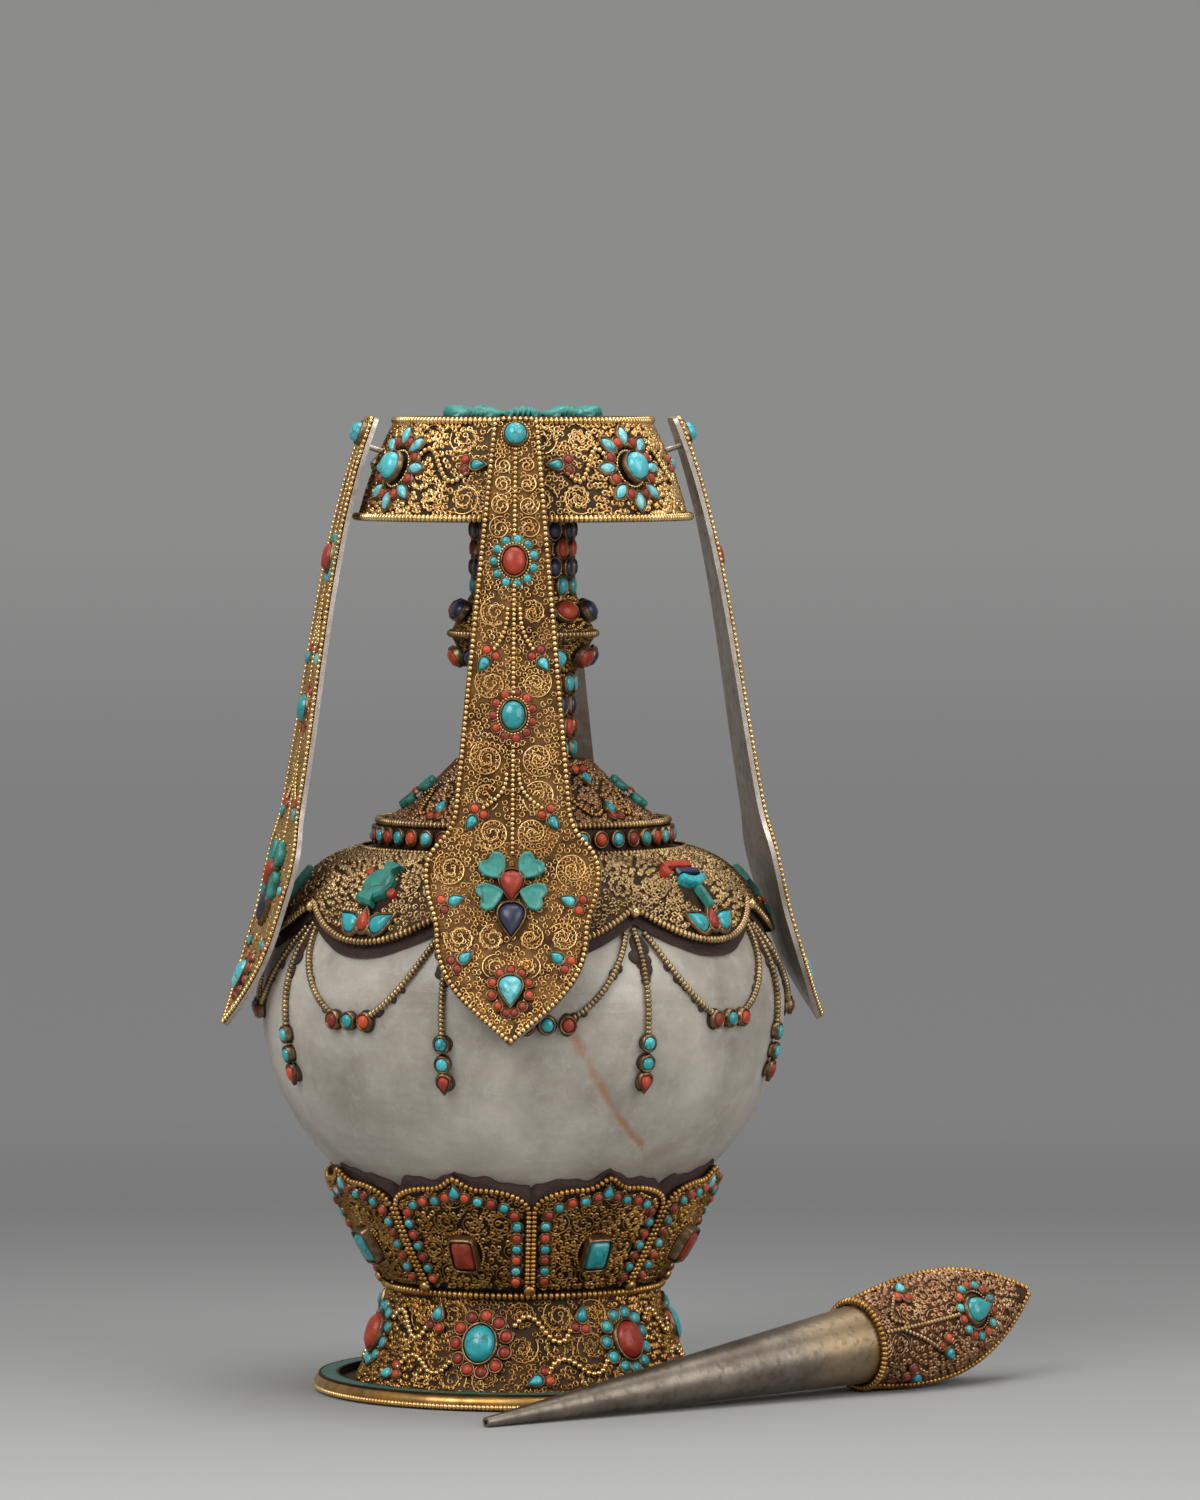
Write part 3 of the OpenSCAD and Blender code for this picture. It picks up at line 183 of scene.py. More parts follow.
def shadeSheetFinish(name, dark, bright, metal):
    # the sheet behind the filigree: its gilt colour darkened as painted shade between the wires, in random blotches
    f = Finish(name, Metallic=metal)
    blotches = f.noise(160.0, 4.0, 0.6).ramp(0.35, 0.7)
    fine = f.noise(1500.0, 3.0)
    f.feed("Base Color", blotches.mix(rgb(*dark), rgb(*bright)))
    f.feed("Roughness", 0.42 + fine * 0.3)
    f.bump(fine, 0.0001, 0.6)
    return f.material


# sheets painted dark to stand for the shade between and under the wires
brightSheet = shadeSheetFinish("brightSheet", (0.045, 0.02, 0.006), (0.24, 0.12, 0.036), 0.8)
dullSheet = shadeSheetFinish("dullSheet", (0.022, 0.012, 0.006), (0.075, 0.042, 0.017), 0.7)
budSheet = shadeSheetFinish("budSheet", (0.04, 0.014, 0.006), (0.12, 0.048, 0.020), 0.6)
brownSheet = shadeSheetFinish("brownSheet", (0.016, 0.008, 0.004), (0.070, 0.034, 0.011), 0.7)


def turquoiseFinish(name, look):
    f = Finish(name, Specular_IOR_Level=0.5, Coat_Weight=look.coat, Coat_Roughness=0.12)
    tone = f.tone()
    cloud = f.noise(420.0, 4.0, 0.6)
    bent = f.warp(500.0, 0.0016)
    veins = f.cells(look.vein, "DISTANCE_TO_EDGE", bent)
    web = (1.0 - veins.ramp(0.0, 0.09)) * f.noise(190.0, 3.0).ramp(0.47, 0.62)
    shade = (tone * 0.85 + (cloud - 0.5) * 0.9).clamp(0.0, 1.0)
    f.feed("Base Color", (web * 0.8).mix(f.shades(look.stops, shade), rgb(0.025, 0.03, 0.022)))
    f.feed("Roughness", look.rough + web * 0.3 + cloud * 0.1)
    f.bump(cloud * 0.5 - web, 0.00012, 0.5)
    return f.material


turquoiseLooks = Specs(turquoise=Specs(coat=0.35, vein=330.0, rough=0.22, stops=[(0.0, (0.012, 0.235, 0.24)),
    (0.4, (0.02, 0.36, 0.40)), (0.7, (0.07, 0.47, 0.52)), (1.0, (0.30, 0.66, 0.68))]),
    carvedTurquoise=Specs(coat=0.08, vein=260.0, rough=0.38, stops=[(0.0, (0.015, 0.12, 0.085)),
    (0.4, (0.03, 0.21, 0.165)), (0.7, (0.05, 0.30, 0.26)), (1.0, (0.10, 0.40, 0.38))]))
turquoise, carvedTurquoise = (turquoiseFinish(name, look) for name, look in turquoiseLooks.items())


coralShades = [(0.0, (0.15, 0.018, 0.010)), (0.35, (0.37, 0.038, 0.014)), (0.75, (0.60, 0.080, 0.022)),
               (1.0, (0.70, 0.15, 0.06))]


def coralFinish():
    f = Finish("coral", Specular_IOR_Level=0.35, Coat_Weight=0.12, Coat_Roughness=0.2)
    tone = f.tone()
    cloud = f.noise(520.0, 4.0, 0.6)
    pits = 1.0 - f.cells(1100.0).ramp(0.12, 0.3)
    pits = pits * f.noise(300.0, 2.0).ramp(0.45, 0.6)
    shade = (tone * 0.8 + (cloud - 0.5) * 0.8).clamp(0.0, 1.0)
    f.feed("Base Color", (pits * 0.75).mix(f.shades(coralShades, shade), rgb(0.06, 0.018, 0.012)))
    f.feed("Roughness", 0.34 + pits * 0.3 + cloud * 0.14)
    f.bump(cloud * 0.3 - pits, 0.00016, 0.6)
    return f.material


def lapisFinish():
    f = Finish("lapis", Specular_IOR_Level=0.5, Coat_Weight=0.2, Coat_Roughness=0.2)
    cloud = f.noise(380.0, 4.0, 0.6)
    pale = f.noise(900.0, 3.0).ramp(0.62, 0.75)
    colour = cloud.mix(rgb(0.005, 0.006, 0.015), rgb(0.026, 0.032, 0.082))
    f.feed("Base Color", (pale * 0.35).mix(colour, rgb(0.12, 0.13, 0.16)))
    f.feed("Roughness", 0.3 + cloud * 0.2)
    f.bump(cloud, 0.0001, 0.4)
    return f.material


def lacFinish():
    f = Finish("lac", Specular_IOR_Level=0.35)
    lump = f.noise(260.0, 6.0, 0.75)
    f.feed("Base Color", lump.mix(rgb(0.014, 0.007, 0.006), rgb(0.078, 0.040, 0.032)))
    f.feed("Roughness", 0.42 + lump * 0.35)
    f.bump(lump, 0.0016, 1.0)
    return f.material


# the crack in the crystal: its upper end, cosine and sine of its lean, and where it fades in and out, in metres
crystalCrack = Specs(x=0.0122, z=0.0983, cos=0.8635, sin=0.504, side=(0.0002, 0.0016), upper=(-0.002, 0.003),
    lower=(0.034, 0.042), depth=(-0.03, -0.02))


def quartzFinish(line):
    # milky rock crystal: cloudy veils, frosty flecks and one rust-stained crack
    f = Finish("quartz", IOR=1.46, Specular_IOR_Level=0.4, Coat_Weight=0.12, Coat_Roughness=0.3,
               Subsurface_Weight=0.35, Subsurface_Radius=(0.012, 0.011, 0.009), Subsurface_Scale=0.6)
    veil = f.noise(26.0, 5.0, 0.62, f.warp(18.0, 0.02))
    fleck = f.noise(240.0, 4.0, 0.7).ramp(0.5, 0.75)
    colour = veil.ramp(0.32, 0.7).mix(rgb(0.25, 0.222, 0.18), rgb(0.56, 0.52, 0.455))
    colour = (fleck * 0.24).mix(colour, rgb(0.68, 0.65, 0.60))
    bent = f.warp(70.0, 0.006)
    x, y, z = (f.axis(i, bent) for i in range(3))
    x, z = x - line.x, z - line.z
    aside = x * line.cos + z * line.sin
    along = x * line.sin - z * line.cos
    crack = 1.0 - f.val.math("ABSOLUTE", aside, 0.0).ramp(*line.side)
    crack = crack * along.ramp(*line.upper) * (1.0 - along.ramp(*line.lower)) * (1.0 - y.ramp(*line.depth))
    rust = (crack * f.noise(190.0, 4.0, 0.7).ramp(0.36, 0.56)
            + f.noise(75.0, 4.0, 0.7).ramp(0.68, 0.74) * 0.35).clamp(0.0, 1.0)
    f.feed("Base Color", (rust * 0.8).mix(colour, rgb(0.36, 0.155, 0.055)))
    f.feed("Roughness", (0.34 + fleck * 0.25 + veil * 0.1).clamp(0.1, 0.9))
    f.bump(veil * 0.6 + fleck * 0.2 - crack * 0.4, 0.0012, 0.35)
    return f.material


coral, lapis, lac = coralFinish(), lapisFinish(), lacFinish()
quartz = quartzFinish(crystalCrack)


def silverFinish(name, dark, bright, brassEnd=None):
    f = Finish(name, Metallic=1.0)
    cloud = f.noise(60.0, 5.0, 0.65).ramp(0.3, 0.72)
    spots = f.noise(420.0, 4.0).ramp(0.5, 0.75)
    scratch = f.noise(900.0, 2.0)
    colour = cloud.mix(rgb(*dark), rgb(*bright))
    if brassEnd:
        # brassy where the plating is worn, towards one end
        along = f.vector("DOT_PRODUCT", {0: f.place, 1: brassEnd["way"]}, "Value")
        worn = (along + cloud * 0.02).ramp(brassEnd["from"], brassEnd["to"])
        colour = (worn * 0.85).mix(colour, rgb(0.36, 0.25, 0.125))
    f.feed("Base Color", (spots * 0.4).mix(colour, rgb(dark[0] * 0.5, dark[1] * 0.46, dark[2] * 0.42)))
    f.feed("Roughness", 0.36 + spots * 0.16 + scratch * 0.12)
    f.bump(scratch + spots, 0.00008, 0.5)
    return f.material


silverBack = silverFinish("silverBack", (0.38, 0.32, 0.27), (0.70, 0.62, 0.54))
silverTube = silverFinish("silverTube", (0.125, 0.10, 0.076), (0.34, 0.295, 0.24),
                          {"way": (0.7826, 0.6159, 0.0909), "from": 0.044, "to": 0.074})
print("finishes made")


# geometry node trees
def newTree(name, sockets):
    tree = bpy.data.node_groups.new(name, "GeometryNodeTree")
    tree.interface.new_socket("Geometry", in_out="INPUT", socket_type="NodeSocketGeometry")
    for label, kind in sockets:
        tree.interface.new_socket(label, in_out="INPUT", socket_type="NodeSocket" + kind)
    tree.interface.new_socket("Geometry", in_out="OUTPUT", socket_type="NodeSocketGeometry")
    entry = tree.nodes.new("NodeGroupInput")
    return Val(tree), {socket.name: Val(tree, socket) for socket in entry.outputs if socket.name}


def endTree(val, shape, finish):
    whole = val.node("GeometryNodeRealizeInstances", {}, {"Geometry": shape})
    whole = val.node("GeometryNodeSetShadeSmooth", {}, {"Geometry": whole, "Shade Smooth": True})
    whole = val.node("GeometryNodeSetMaterial", {}, {"Geometry": whole, "Material": finish})
    leave = val.tree.nodes.new("NodeGroupOutput")
    val.tree.links.new(whole.socket, leave.inputs[0])
    return val.tree


def scatterTree():
    val, given = newTree("settingScatter", [("Shape", "Object"), ("Finish", "Material")])
    shape = val.node("GeometryNodeObjectInfo", {}, {"Object": given["Shape"]}, "Geometry")
    read = {key: val.node("GeometryNodeInputNamedAttribute", {"data_type": "FLOAT_VECTOR"}, {"Name": key})
            for key in ("facing", "along", "size")}
    turn = val.node("FunctionNodeAxesToRotation", {"primary_axis": "Z", "secondary_axis": "X"},
                    {"Primary Axis": read["facing"], "Secondary Axis": read["along"]})
    placed = val.node("GeometryNodeInstanceOnPoints", {}, {"Points": given["Geometry"], "Instance": shape,
                      "Rotation": turn, "Scale": read["size"]})
    return endTree(val, placed, given["Finish"])


def wireTree():
    val, given = newTree("drawnWire", [("Thickness", "Float"), ("Sides", "Int"), ("Finish", "Material")])
    path = val.node("GeometryNodeMeshToCurve", {}, {"Mesh": given["Geometry"]})
    ring = val.node("GeometryNodeCurvePrimitiveCircle", {}, {"Resolution": given["Sides"],
                    "Radius": given["Thickness"]})
    tube = val.node("GeometryNodeCurveToMesh", {}, {"Curve": path, "Profile Curve": ring, "Fill Caps": True})
    return endTree(val, tube, given["Finish"])


def beadTree():
    val, given = newTree("beadWire", [("Pitch", "Float"), ("Radius", "Float"), ("Squash", "Float"),
                                      ("Finish", "Material")])
    path = val.node("GeometryNodeMeshToCurve", {}, {"Mesh": given["Geometry"]})
    path = val.node("GeometryNodeResampleCurve", {"mode": "LENGTH"}, {"Curve": path, "Length": given["Pitch"]})
    bead = val.node("GeometryNodeMeshIcoSphere", {}, {"Radius": given["Radius"], "Subdivisions": 2})
    along = val.node("GeometryNodeInputTangent")
    turn = val.node("FunctionNodeAlignRotationToVector", {"axis": "X"}, {"Vector": along})
    flat = val.node("ShaderNodeCombineXYZ", {}, {0: given["Squash"], 1: 1.0, 2: 1.0})
    placed = val.node("GeometryNodeInstanceOnPoints", {}, {"Points": path, "Instance": bead, "Rotation": turn,
                      "Scale": flat})
    return endTree(val, placed, given["Finish"])


settingScatter, drawnWire, beadWire = scatterTree(), wireTree(), beadTree()


def linked(name, mesh):
    thing = bpy.data.objects.new(name, mesh)
    scene.collection.objects.link(thing)
    return thing


def grown(name, mesh, tree, inputs):
    # runs a tree on a mesh and keeps the result as a plain mesh
    thing = linked(name, mesh)
    modifier = thing.modifiers.new("build", "NODES")
    modifier.node_group = tree
    for item in tree.interface.items_tree:
        if item.item_type == "SOCKET" and item.in_out == "INPUT" and item.name in inputs:
            modifier[item.identifier] = inputs[item.name]
    graph = bpy.context.evaluated_depsgraph_get()
    result = bpy.data.meshes.new_from_object(thing.evaluated_get(graph), depsgraph=graph)
    thing.modifiers.clear()
    thing.data = result
    result.name = name
    bpy.data.meshes.remove(mesh)
    return thing


# bake maps: every copy of a shape gets its own place in the square
bakeEdge = 0.04  # free rim round each copy
beadPoints, beadFaces = 42, 80  # of the tree's bead


def cornersOf(mesh):
    found = np.empty(len(mesh.loops), np.int32)
    mesh.loops.foreach_get("vertex_index", found)
    return found


def placesOf(mesh):
    found = np.empty(3 * len(mesh.vertices), np.float32)
    mesh.vertices.foreach_get("co", found)
    return found.reshape(-1, 3)


def rimmed(places):
    return bakeEdge + (1.0 - 2.0 * bakeEdge) * places


def bakeMap(mesh, places):
    layer = mesh.uv_layers.new(name="OFBake").uv
    layer.foreach_set("vector", np.ascontiguousarray(places, np.float32).ravel())


def spread(mesh, layout):
    # lays copies of one flat layout side by side
    number = len(mesh.loops) // len(layout)
    n = math.ceil(math.sqrt(number))
    k = np.arange(number)
    cell = np.stack([k % n, k // n], 1)[:, None, :]
    bakeMap(mesh, (cell + rimmed(layout[None])) / n)


def shapeLayout(mesh):
    # a unit shape laid flat: rings from the rim inwards, or seen from above; its underside goes in a corner
    index, co = cornersOf(mesh), placesOf(mesh)
    flat = co[:, :2].copy()
    if "around" in mesh:
        ring = np.arange(len(co)) // mesh["around"]
        flat *= ((1.0 - ring / (ring.max() + 0.6)) / np.maximum(np.linalg.norm(flat, axis=1), 1e-6))[:, None]
    flat = (0.5 + 0.5 * flat / np.abs(flat).max())[index]
    for face in mesh.polygons:
        if face.normal.z < 0.1 and (len(face.vertices) == 3 or len(face.vertices) > 4):
            corner = slice(face.loop_start, face.loop_start + face.loop_total)
            turn = np.linspace(0, 2 * math.pi, face.loop_total, endpoint=False)
            flat[corner] = 0.05 + 0.05 * np.stack([np.cos(turn), np.sin(turn)], 1)
    return flat


def beadLayout(mesh):
    # one bead as two discs, its front and its back
    co = placesOf(mesh)[:beadPoints]
    co = (co - co.mean(0)) / np.linalg.norm(co - co.mean(0), axis=1)[:, None]
    at = co[cornersOf(mesh)[:3 * beadFaces]].reshape(-1, 3, 3)
    back = at[:, :, 2].mean(1) < 0
    height = np.where(back[:, None], -1, 1) * at[:, :, 2]
    flat = at[:, :, :2] * np.sqrt(2.0 / (1.0 + np.maximum(height, -0.8)))[:, :, None] / 1.8
    flat = 0.5 + 0.5 * flat
    flat[:, :, 0] = 0.5 * (flat[:, :, 0] + back[:, None])
    return flat.reshape(-1, 2)


def wireMap(mesh, sides):
    # the rings of all wires in order, in rows
    index = cornersOf(mesh)
    ring, side = index // sides, (index % sides).astype(float)
    count, first = (np.empty(len(mesh.polygons), np.int32) for _ in range(2))
    mesh.polygons.foreach_get("loop_total", count)
    mesh.polygons.foreach_get("loop_start", first)
    face = np.repeat(np.arange(len(count)), count)
    low, high = np.minimum.reduceat(ring, first), np.maximum.reduceat(ring, first)
    base = np.where(high - low > 1, high, low)[face]
    step = (ring != base).astype(float)
    wrap = np.maximum.reduceat(side, first)[face] - side > 1.5
    side = np.where(wrap & (count[face] == 4), side + sides, side)
    rings = ring.max() + 1
    long = math.ceil(math.sqrt(rings * (sides + 0.5)))
    rows = math.ceil(rings / long)
    bakeMap(mesh, np.stack([(base % long + step) / long, (base // long + rimmed(side / sides)) / rows], 1))


def joined(name, things):
    # one piece of several, whose bake maps share the square
    share = math.ceil(math.sqrt(len(things)))
    if len(things) > 1:
        for k, thing in enumerate(things):
            layer = thing.data.uv_layers["OFBake"].uv
            places = np.empty(2 * len(layer), np.float32)
            layer.foreach_get("vector", places)
            places = (places.reshape(-1, 2) + [k % share, k // share]) / share
            layer.foreach_set("vector", places.astype(np.float32).ravel())
        with bpy.context.temp_override(active_object=things[0], selected_editable_objects=things,
                                       selected_objects=things, object=things[0]):
            bpy.ops.object.join()
    things[0].name = name
    return things[0]


def ridden(piece, body, slot, replaced=()):
    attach(piece, body)
    if replaced:
        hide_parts(*replaced)
    return piece


# meshes from points in millimetres
def metres(points):
    return [tuple(float(c) * mm for c in p) for p in points]


def ringFaces(a, b, count):
    # quads between two closed rings of points that start at a and b
    return [(a + i, a + (i + 1) % count, b + (i + 1) % count, b + i) for i in range(count)]


def plainMesh(name, points, faces, finishes, smooth=True, tone=None):
    mesh = bpy.data.meshes.new(name)
    mesh.from_pydata(metres(points), [], faces)
    mesh.polygons.foreach_set("use_smooth", [smooth] * len(faces))
    for finish in finishes:
        mesh.materials.append(finish)
    if tone is not None:
        mesh.attributes.new("tone", "FLOAT", "POINT").data.foreach_set("value", [tone] * len(points))
    return mesh


def pathMesh(paths, closed):
    points, edges = [], []
    for path in paths:
        start, count = len(points), len(path)
        points.extend(path)
        edges.extend((start + i, start + (i + 1) % count) for i in range(count if closed else count - 1))
    mesh = bpy.data.meshes.new("path")
    mesh.from_pydata(metres(points), edges, [])
    return mesh


def wires(name, paths, radius, sides, finish):
    thing = grown(name, pathMesh(paths, False), drawnWire,
                  {"Thickness": radius * mm, "Sides": sides, "Finish": finish})
    wireMap(thing.data, sides)
    return thing


def beads(name, paths, bead, finish, closed=False):
    # bead: radius, pitch, and its length along the wire as a share of its width
    radius, pitch, squash = bead
    thing = grown(name, pathMesh(paths, closed), beadWire,
                  {"Pitch": pitch * mm, "Radius": radius * mm, "Squash": squash, "Finish": finish})
    spread(thing.data, beadLayout(thing.data))
    return thing


def pointMesh(spots, tones=None):
    # spots: rows of point, facing, along, size
    table = np.array(spots, float).reshape(-1, 12)
    mesh = bpy.data.meshes.new("spots")
    mesh.vertices.add(len(table))
    mesh.vertices.foreach_set("co", (table[:, :3] * mm).ravel())
    for key, part in (("facing", table[:, 3:6]), ("along", table[:, 6:9]), ("size", table[:, 9:12] * mm)):
        mesh.attributes.new(key, "FLOAT_VECTOR", "POINT").data.foreach_set("vector", part.ravel())
    if tones is not None:
        mesh.attributes.new("tone", "FLOAT", "POINT").data.foreach_set("value", np.array(tones, float))
    mesh.update()
    return mesh


def scattered(name, spots, shape, finish, tones=None):
    thing = grown(name, pointMesh(spots, tones), settingScatter, {"Shape": shape, "Finish": finish})
    spread(thing.data, shapeLayout(shape.data))
    return thing


# unit shapes that the trees repeat: one long and wide, steps as share of the outline and height
stoneSides = Specs(big=28, small=14)
domes = Specs(round=([(1.0, 0.0), (1.0, 0.3), (0.9, 0.66), (0.66, 0.89)], 1.0),
    drop=([(1.0, 0.0), (1.0, 0.3), (0.88, 0.66), (0.6, 0.9)], 1.0),
    marquise=([(1.0, 0.0), (1.0, 0.3), (0.85, 0.66), (0.55, 0.9)], 1.0), heart=([(1.0, 0.0), (1.0, 0.75),
    (0.9, 1.0), (0.8, 0.78), (0.45, 0.9)], 0.72), slab=([(1.0, 0.0), (1.0, 0.5), (0.94, 0.66), (0.7, 1.0)], 1.0))
bezel = Specs(bigWall=0.2, smallWall=0.4, slabRise=1.35, tallest=2.4)


def outlineOf(kind, count):
    spots = []
    for i in range(count):
        t = 2.0 * math.pi * i / count
        c, s = math.cos(t), math.sin(t)
        if kind == "round":
            spots.append((c, s))
        elif kind == "drop":
            spots.append((c, 1.3 * s * abs(math.sin(t / 2.0)) ** 1.3))
        elif kind == "marquise":
            spots.append((c, s * abs(s) ** 0.6))
        elif kind == "heart":
            notch = (13 * c - 5 * math.cos(2 * t) - 2 * math.cos(3 * t) - math.cos(4 * t) + 2.5) / 14.5
            spots.append((0.72 * notch + 0.28 * c, 0.6 * s ** 3 + 0.4 * s))
        else:  # table-cut slab
            spots.append((math.copysign(abs(c) ** 0.3, c), math.copysign(abs(s) ** 0.3, s)))
    return [(0.5 * x, 0.5 * y) for x, y in spots]


def ringShape(name, outline, steps, peak=None):
    # an outline taken in and up step by step, closed by a peak and a flat bottom or left open
    count = len(outline)
    points = [(x * k, y * k, z) for k, z in steps for x, y in outline]
    faces = []
    for level in range(len(steps) - 1):
        faces += ringFaces(level * count, (level + 1) * count, count)
    if peak is not None:
        last = (len(steps) - 1) * count
        points.append((0.0, 0.0, peak))
        faces += [(last + i, last + (i + 1) % count, len(points) - 1) for i in range(count)]
        faces.append(tuple(range(count - 1, -1, -1)))
    mesh = bpy.data.meshes.new(name)
    mesh.from_pydata(points, [], faces)
    mesh["around"] = count
    return bpy.data.objects.new(name, mesh)


def stoneShape(kind, count):
    steps, peak = domes[kind]
    return ringShape(kind + "Stone%d" % count, outlineOf(kind, count), steps, peak)


def bezelShape(kind, count):
    wall = bezel.bigWall if count == stoneSides.big else bezel.smallWall
    steps = [(1 + wall, 0.0), (1 + 0.9 * wall, 0.5), (1 + 0.55 * wall, 0.62), (1.03, 0.54), (1.02, 0.1)]
    return ringShape(kind + "Bezel%d" % count, outlineOf(kind, count), steps)


shapeStore = {}


def shapeFor(maker, kind, count):
    key = (maker.__name__, kind, count)
    if key not in shapeStore:
        shapeStore[key] = maker(kind, count)
    return shapeStore[key]


def pebble():
    return shapeFor(stoneShape, "round", stoneSides.small)


# a hooked curl of drawn wire, as a ridge that stands on the sheet: turns in degrees with their radius
curlSizes = Specs(half=0.105, rise=0.4, turns=[(-10, 0.45), (45, 0.46), (100, 0.46), (155, 0.44), (210, 0.38),
    (270, 0.27), (345, 0.15)])


def curlShape(size):
    points, faces = [], []
    for angle, radius in size.turns:
        c, s = math.cos(math.radians(angle)), math.sin(math.radians(angle))
        points += [(r * c, r * s, z) for r, z in ((radius - size.half, 0.0), (radius, size.rise),
                                                  (radius + size.half, 0.0))]
    last = len(points) - 3
    for a in range(0, last, 3):
        b = a + 3
        faces += [(a, a + 1, b + 1, b), (a + 1, a + 2, b + 2, b + 1)]
    faces += [(0, 2, 1), (last, last + 1, last + 2)]
    mesh = bpy.data.meshes.new("curl")
    mesh.from_pydata(points, [], faces)
    return bpy.data.objects.new("curl", mesh)


curl = curlShape(curlSizes)


class Stones:
    # collects stones of one finish, then sets them with their bezels
    def __init__(self):
        self.rows = {}
        self.tones = {}
        self.random = random.Random(7)

    def add(self, kind, spot, size, tone=None, big=False):
        # size: length along, width across, height
        point, facing, along = spot
        key = (kind, stoneSides["big" if big else "small"])
        self.rows.setdefault(key, []).append([*point, *facing, *along, *size])
        level = self.random.uniform(0.08, 0.92) if tone is None else tone
        self.tones.setdefault(key, []).append(level)

    def build(self, name, finish):
        made = [scattered(name, rows, shapeFor(stoneShape, *key), finish, self.tones[key])
                for key, rows in self.rows.items()]
        return joined(name, made)

    def bezels(self, name, finish):
        made = []
        for key, rows in self.rows.items():
            if key[0] == "heart":
                continue
            table = np.array(rows, float)
            high = table[:, 11]
            table[:, 11] = bezel.slabRise * high if key[0] == "slab" else np.minimum(high, bezel.tallest)
            made.append(scattered(name, table, shapeFor(bezelShape, *key), finish))
        return made


# the surfaces that carry the work, in millimetres
def unit(v):
    return v / np.linalg.norm(v)


def runningLength(points):
    return np.concatenate([[0.0], np.cumsum(np.linalg.norm(np.diff(points, axis=0), axis=1))])


def cubic(c, t):
    c = np.array(c, float)
    t = np.asarray(t, float).reshape(-1, 1)
    return (1 - t) ** 3 * c[0] + 3 * t * (1 - t) ** 2 * c[1] + 3 * t * t * (1 - t) * c[2] + t ** 3 * c[3]


class Sheet:
    # a place on a round sheet is a turn in degrees and a length up the sheet; many() of each kind gives
    # arrays of points and of outward, around and up directions
    def follow(self, line, slope):
        self.line = line
        self.up = slope / np.linalg.norm(slope, axis=1)[:, None]
        self.along = runningLength(line)

    def profile(self, y):
        # radius, height and their directions
        return (np.interp(y, self.along, values) for values in (*self.line.T, *self.up.T))

    def spot(self, x, y, lift=0.0, turn=0.0):
        # one setting; turn leans its length away from up the sheet
        p, out, around, up = (v[0] for v in self.many([x], [y], lift))
        a = math.radians(turn)
        return p, out, math.cos(a) * up + math.sin(a) * around

    def shift(self, x, y, dx, dy):
        y = np.asarray(y + dy, float)
        return x + np.degrees(dx / self.radius(y)), y

    def beside(self, x, y, dx, dy):
        # one place, given by its offsets in millimetres from another
        return tuple(float(v) for v in self.shift(x, y, dx, dy))

    def apart(self, x, y, x0, y0):
        # offsets in millimetres of places from one place
        dx = (np.asarray(x) - x0 + 180.0) % 360.0 - 180.0
        return np.radians(dx) * self.radius((np.asarray(y) + y0) / 2), np.asarray(y) - y0

    def grid(self, low, high, pitch):
        xs, ys = [], []
        for k, y in enumerate(np.arange(low, high, pitch * weave.rowStep)):
            count = max(8, int(2 * math.pi * float(self.radius(y)) / pitch))
            xs.append((np.arange(count) + 0.5 * (k % 2)) * 360.0 / count)
            ys.append(np.full(count, y))
        return np.concatenate(xs), np.concatenate(ys)


class Turned(Sheet):
    # a sheet turned round the axis, its profile bent from a to c
    def __init__(self, a, b, c):
        t = np.linspace(0.0, 1.0, 241)[:, None]
        a, b, c = (np.array(p, float) for p in (a, b, c))
        self.follow((1 - t) ** 2 * a + 2 * t * (1 - t) * b + t * t * c, (1 - t) * (b - a) + t * (c - b))
        self.length = self.along[-1]
        self.t = t[:, 0]

    def lengthAt(self, t):
        return float(np.interp(t, self.t, self.along))

    def lengthAtHeight(self, z):
        return np.interp(z, self.line[:, 1], self.along)

    def radiusAtHeight(self, z):
        return np.interp(z, self.line[:, 1], self.line[:, 0])

    def radius(self, y):
        return np.interp(y, self.along, self.line[:, 0])

    def height(self, y):
        return np.interp(y, self.along, self.line[:, 1])

    def many(self, x, y, lift=0.0):
        x = np.radians(np.asarray(x, float))
        r, z, ur, uz = self.profile(np.asarray(y, float))
        c, s = np.cos(x), np.sin(x)
        out = np.stack([uz * c, uz * s, -ur], 1)
        around = np.stack([-s, c, 0 * c], 1)
        up = np.stack([ur * c, ur * s, uz], 1)
        return np.stack([r * c, r * s, z], 1) + np.asarray(lift).reshape(-1, 1) * out, out, around, up


lappetSizes = Specs(turns=Specs(front=268.0, right=8.0, back=86.0, left=190.0),
    profile=[(38.9, 253.5), (58.5, 204.8), (53.5, 139.0), (78.3, 95.5)], thick=1.2, tip=95.5, trim=0.4, long=157.2,
    bare=1.9, corner=2.5, stem=[(15, 58), (6.1, 154.7)], bends=[[(0.6, 0), (9.8, 8.1), (19.6, 13.5), (19.6, 27)],
    [(19.6, 27), (19.6, 32), (22.5, 35), (22.5, 42)], [(22.5, 42), (22.5, 50), (16.2, 49.04), (15, 58)]])


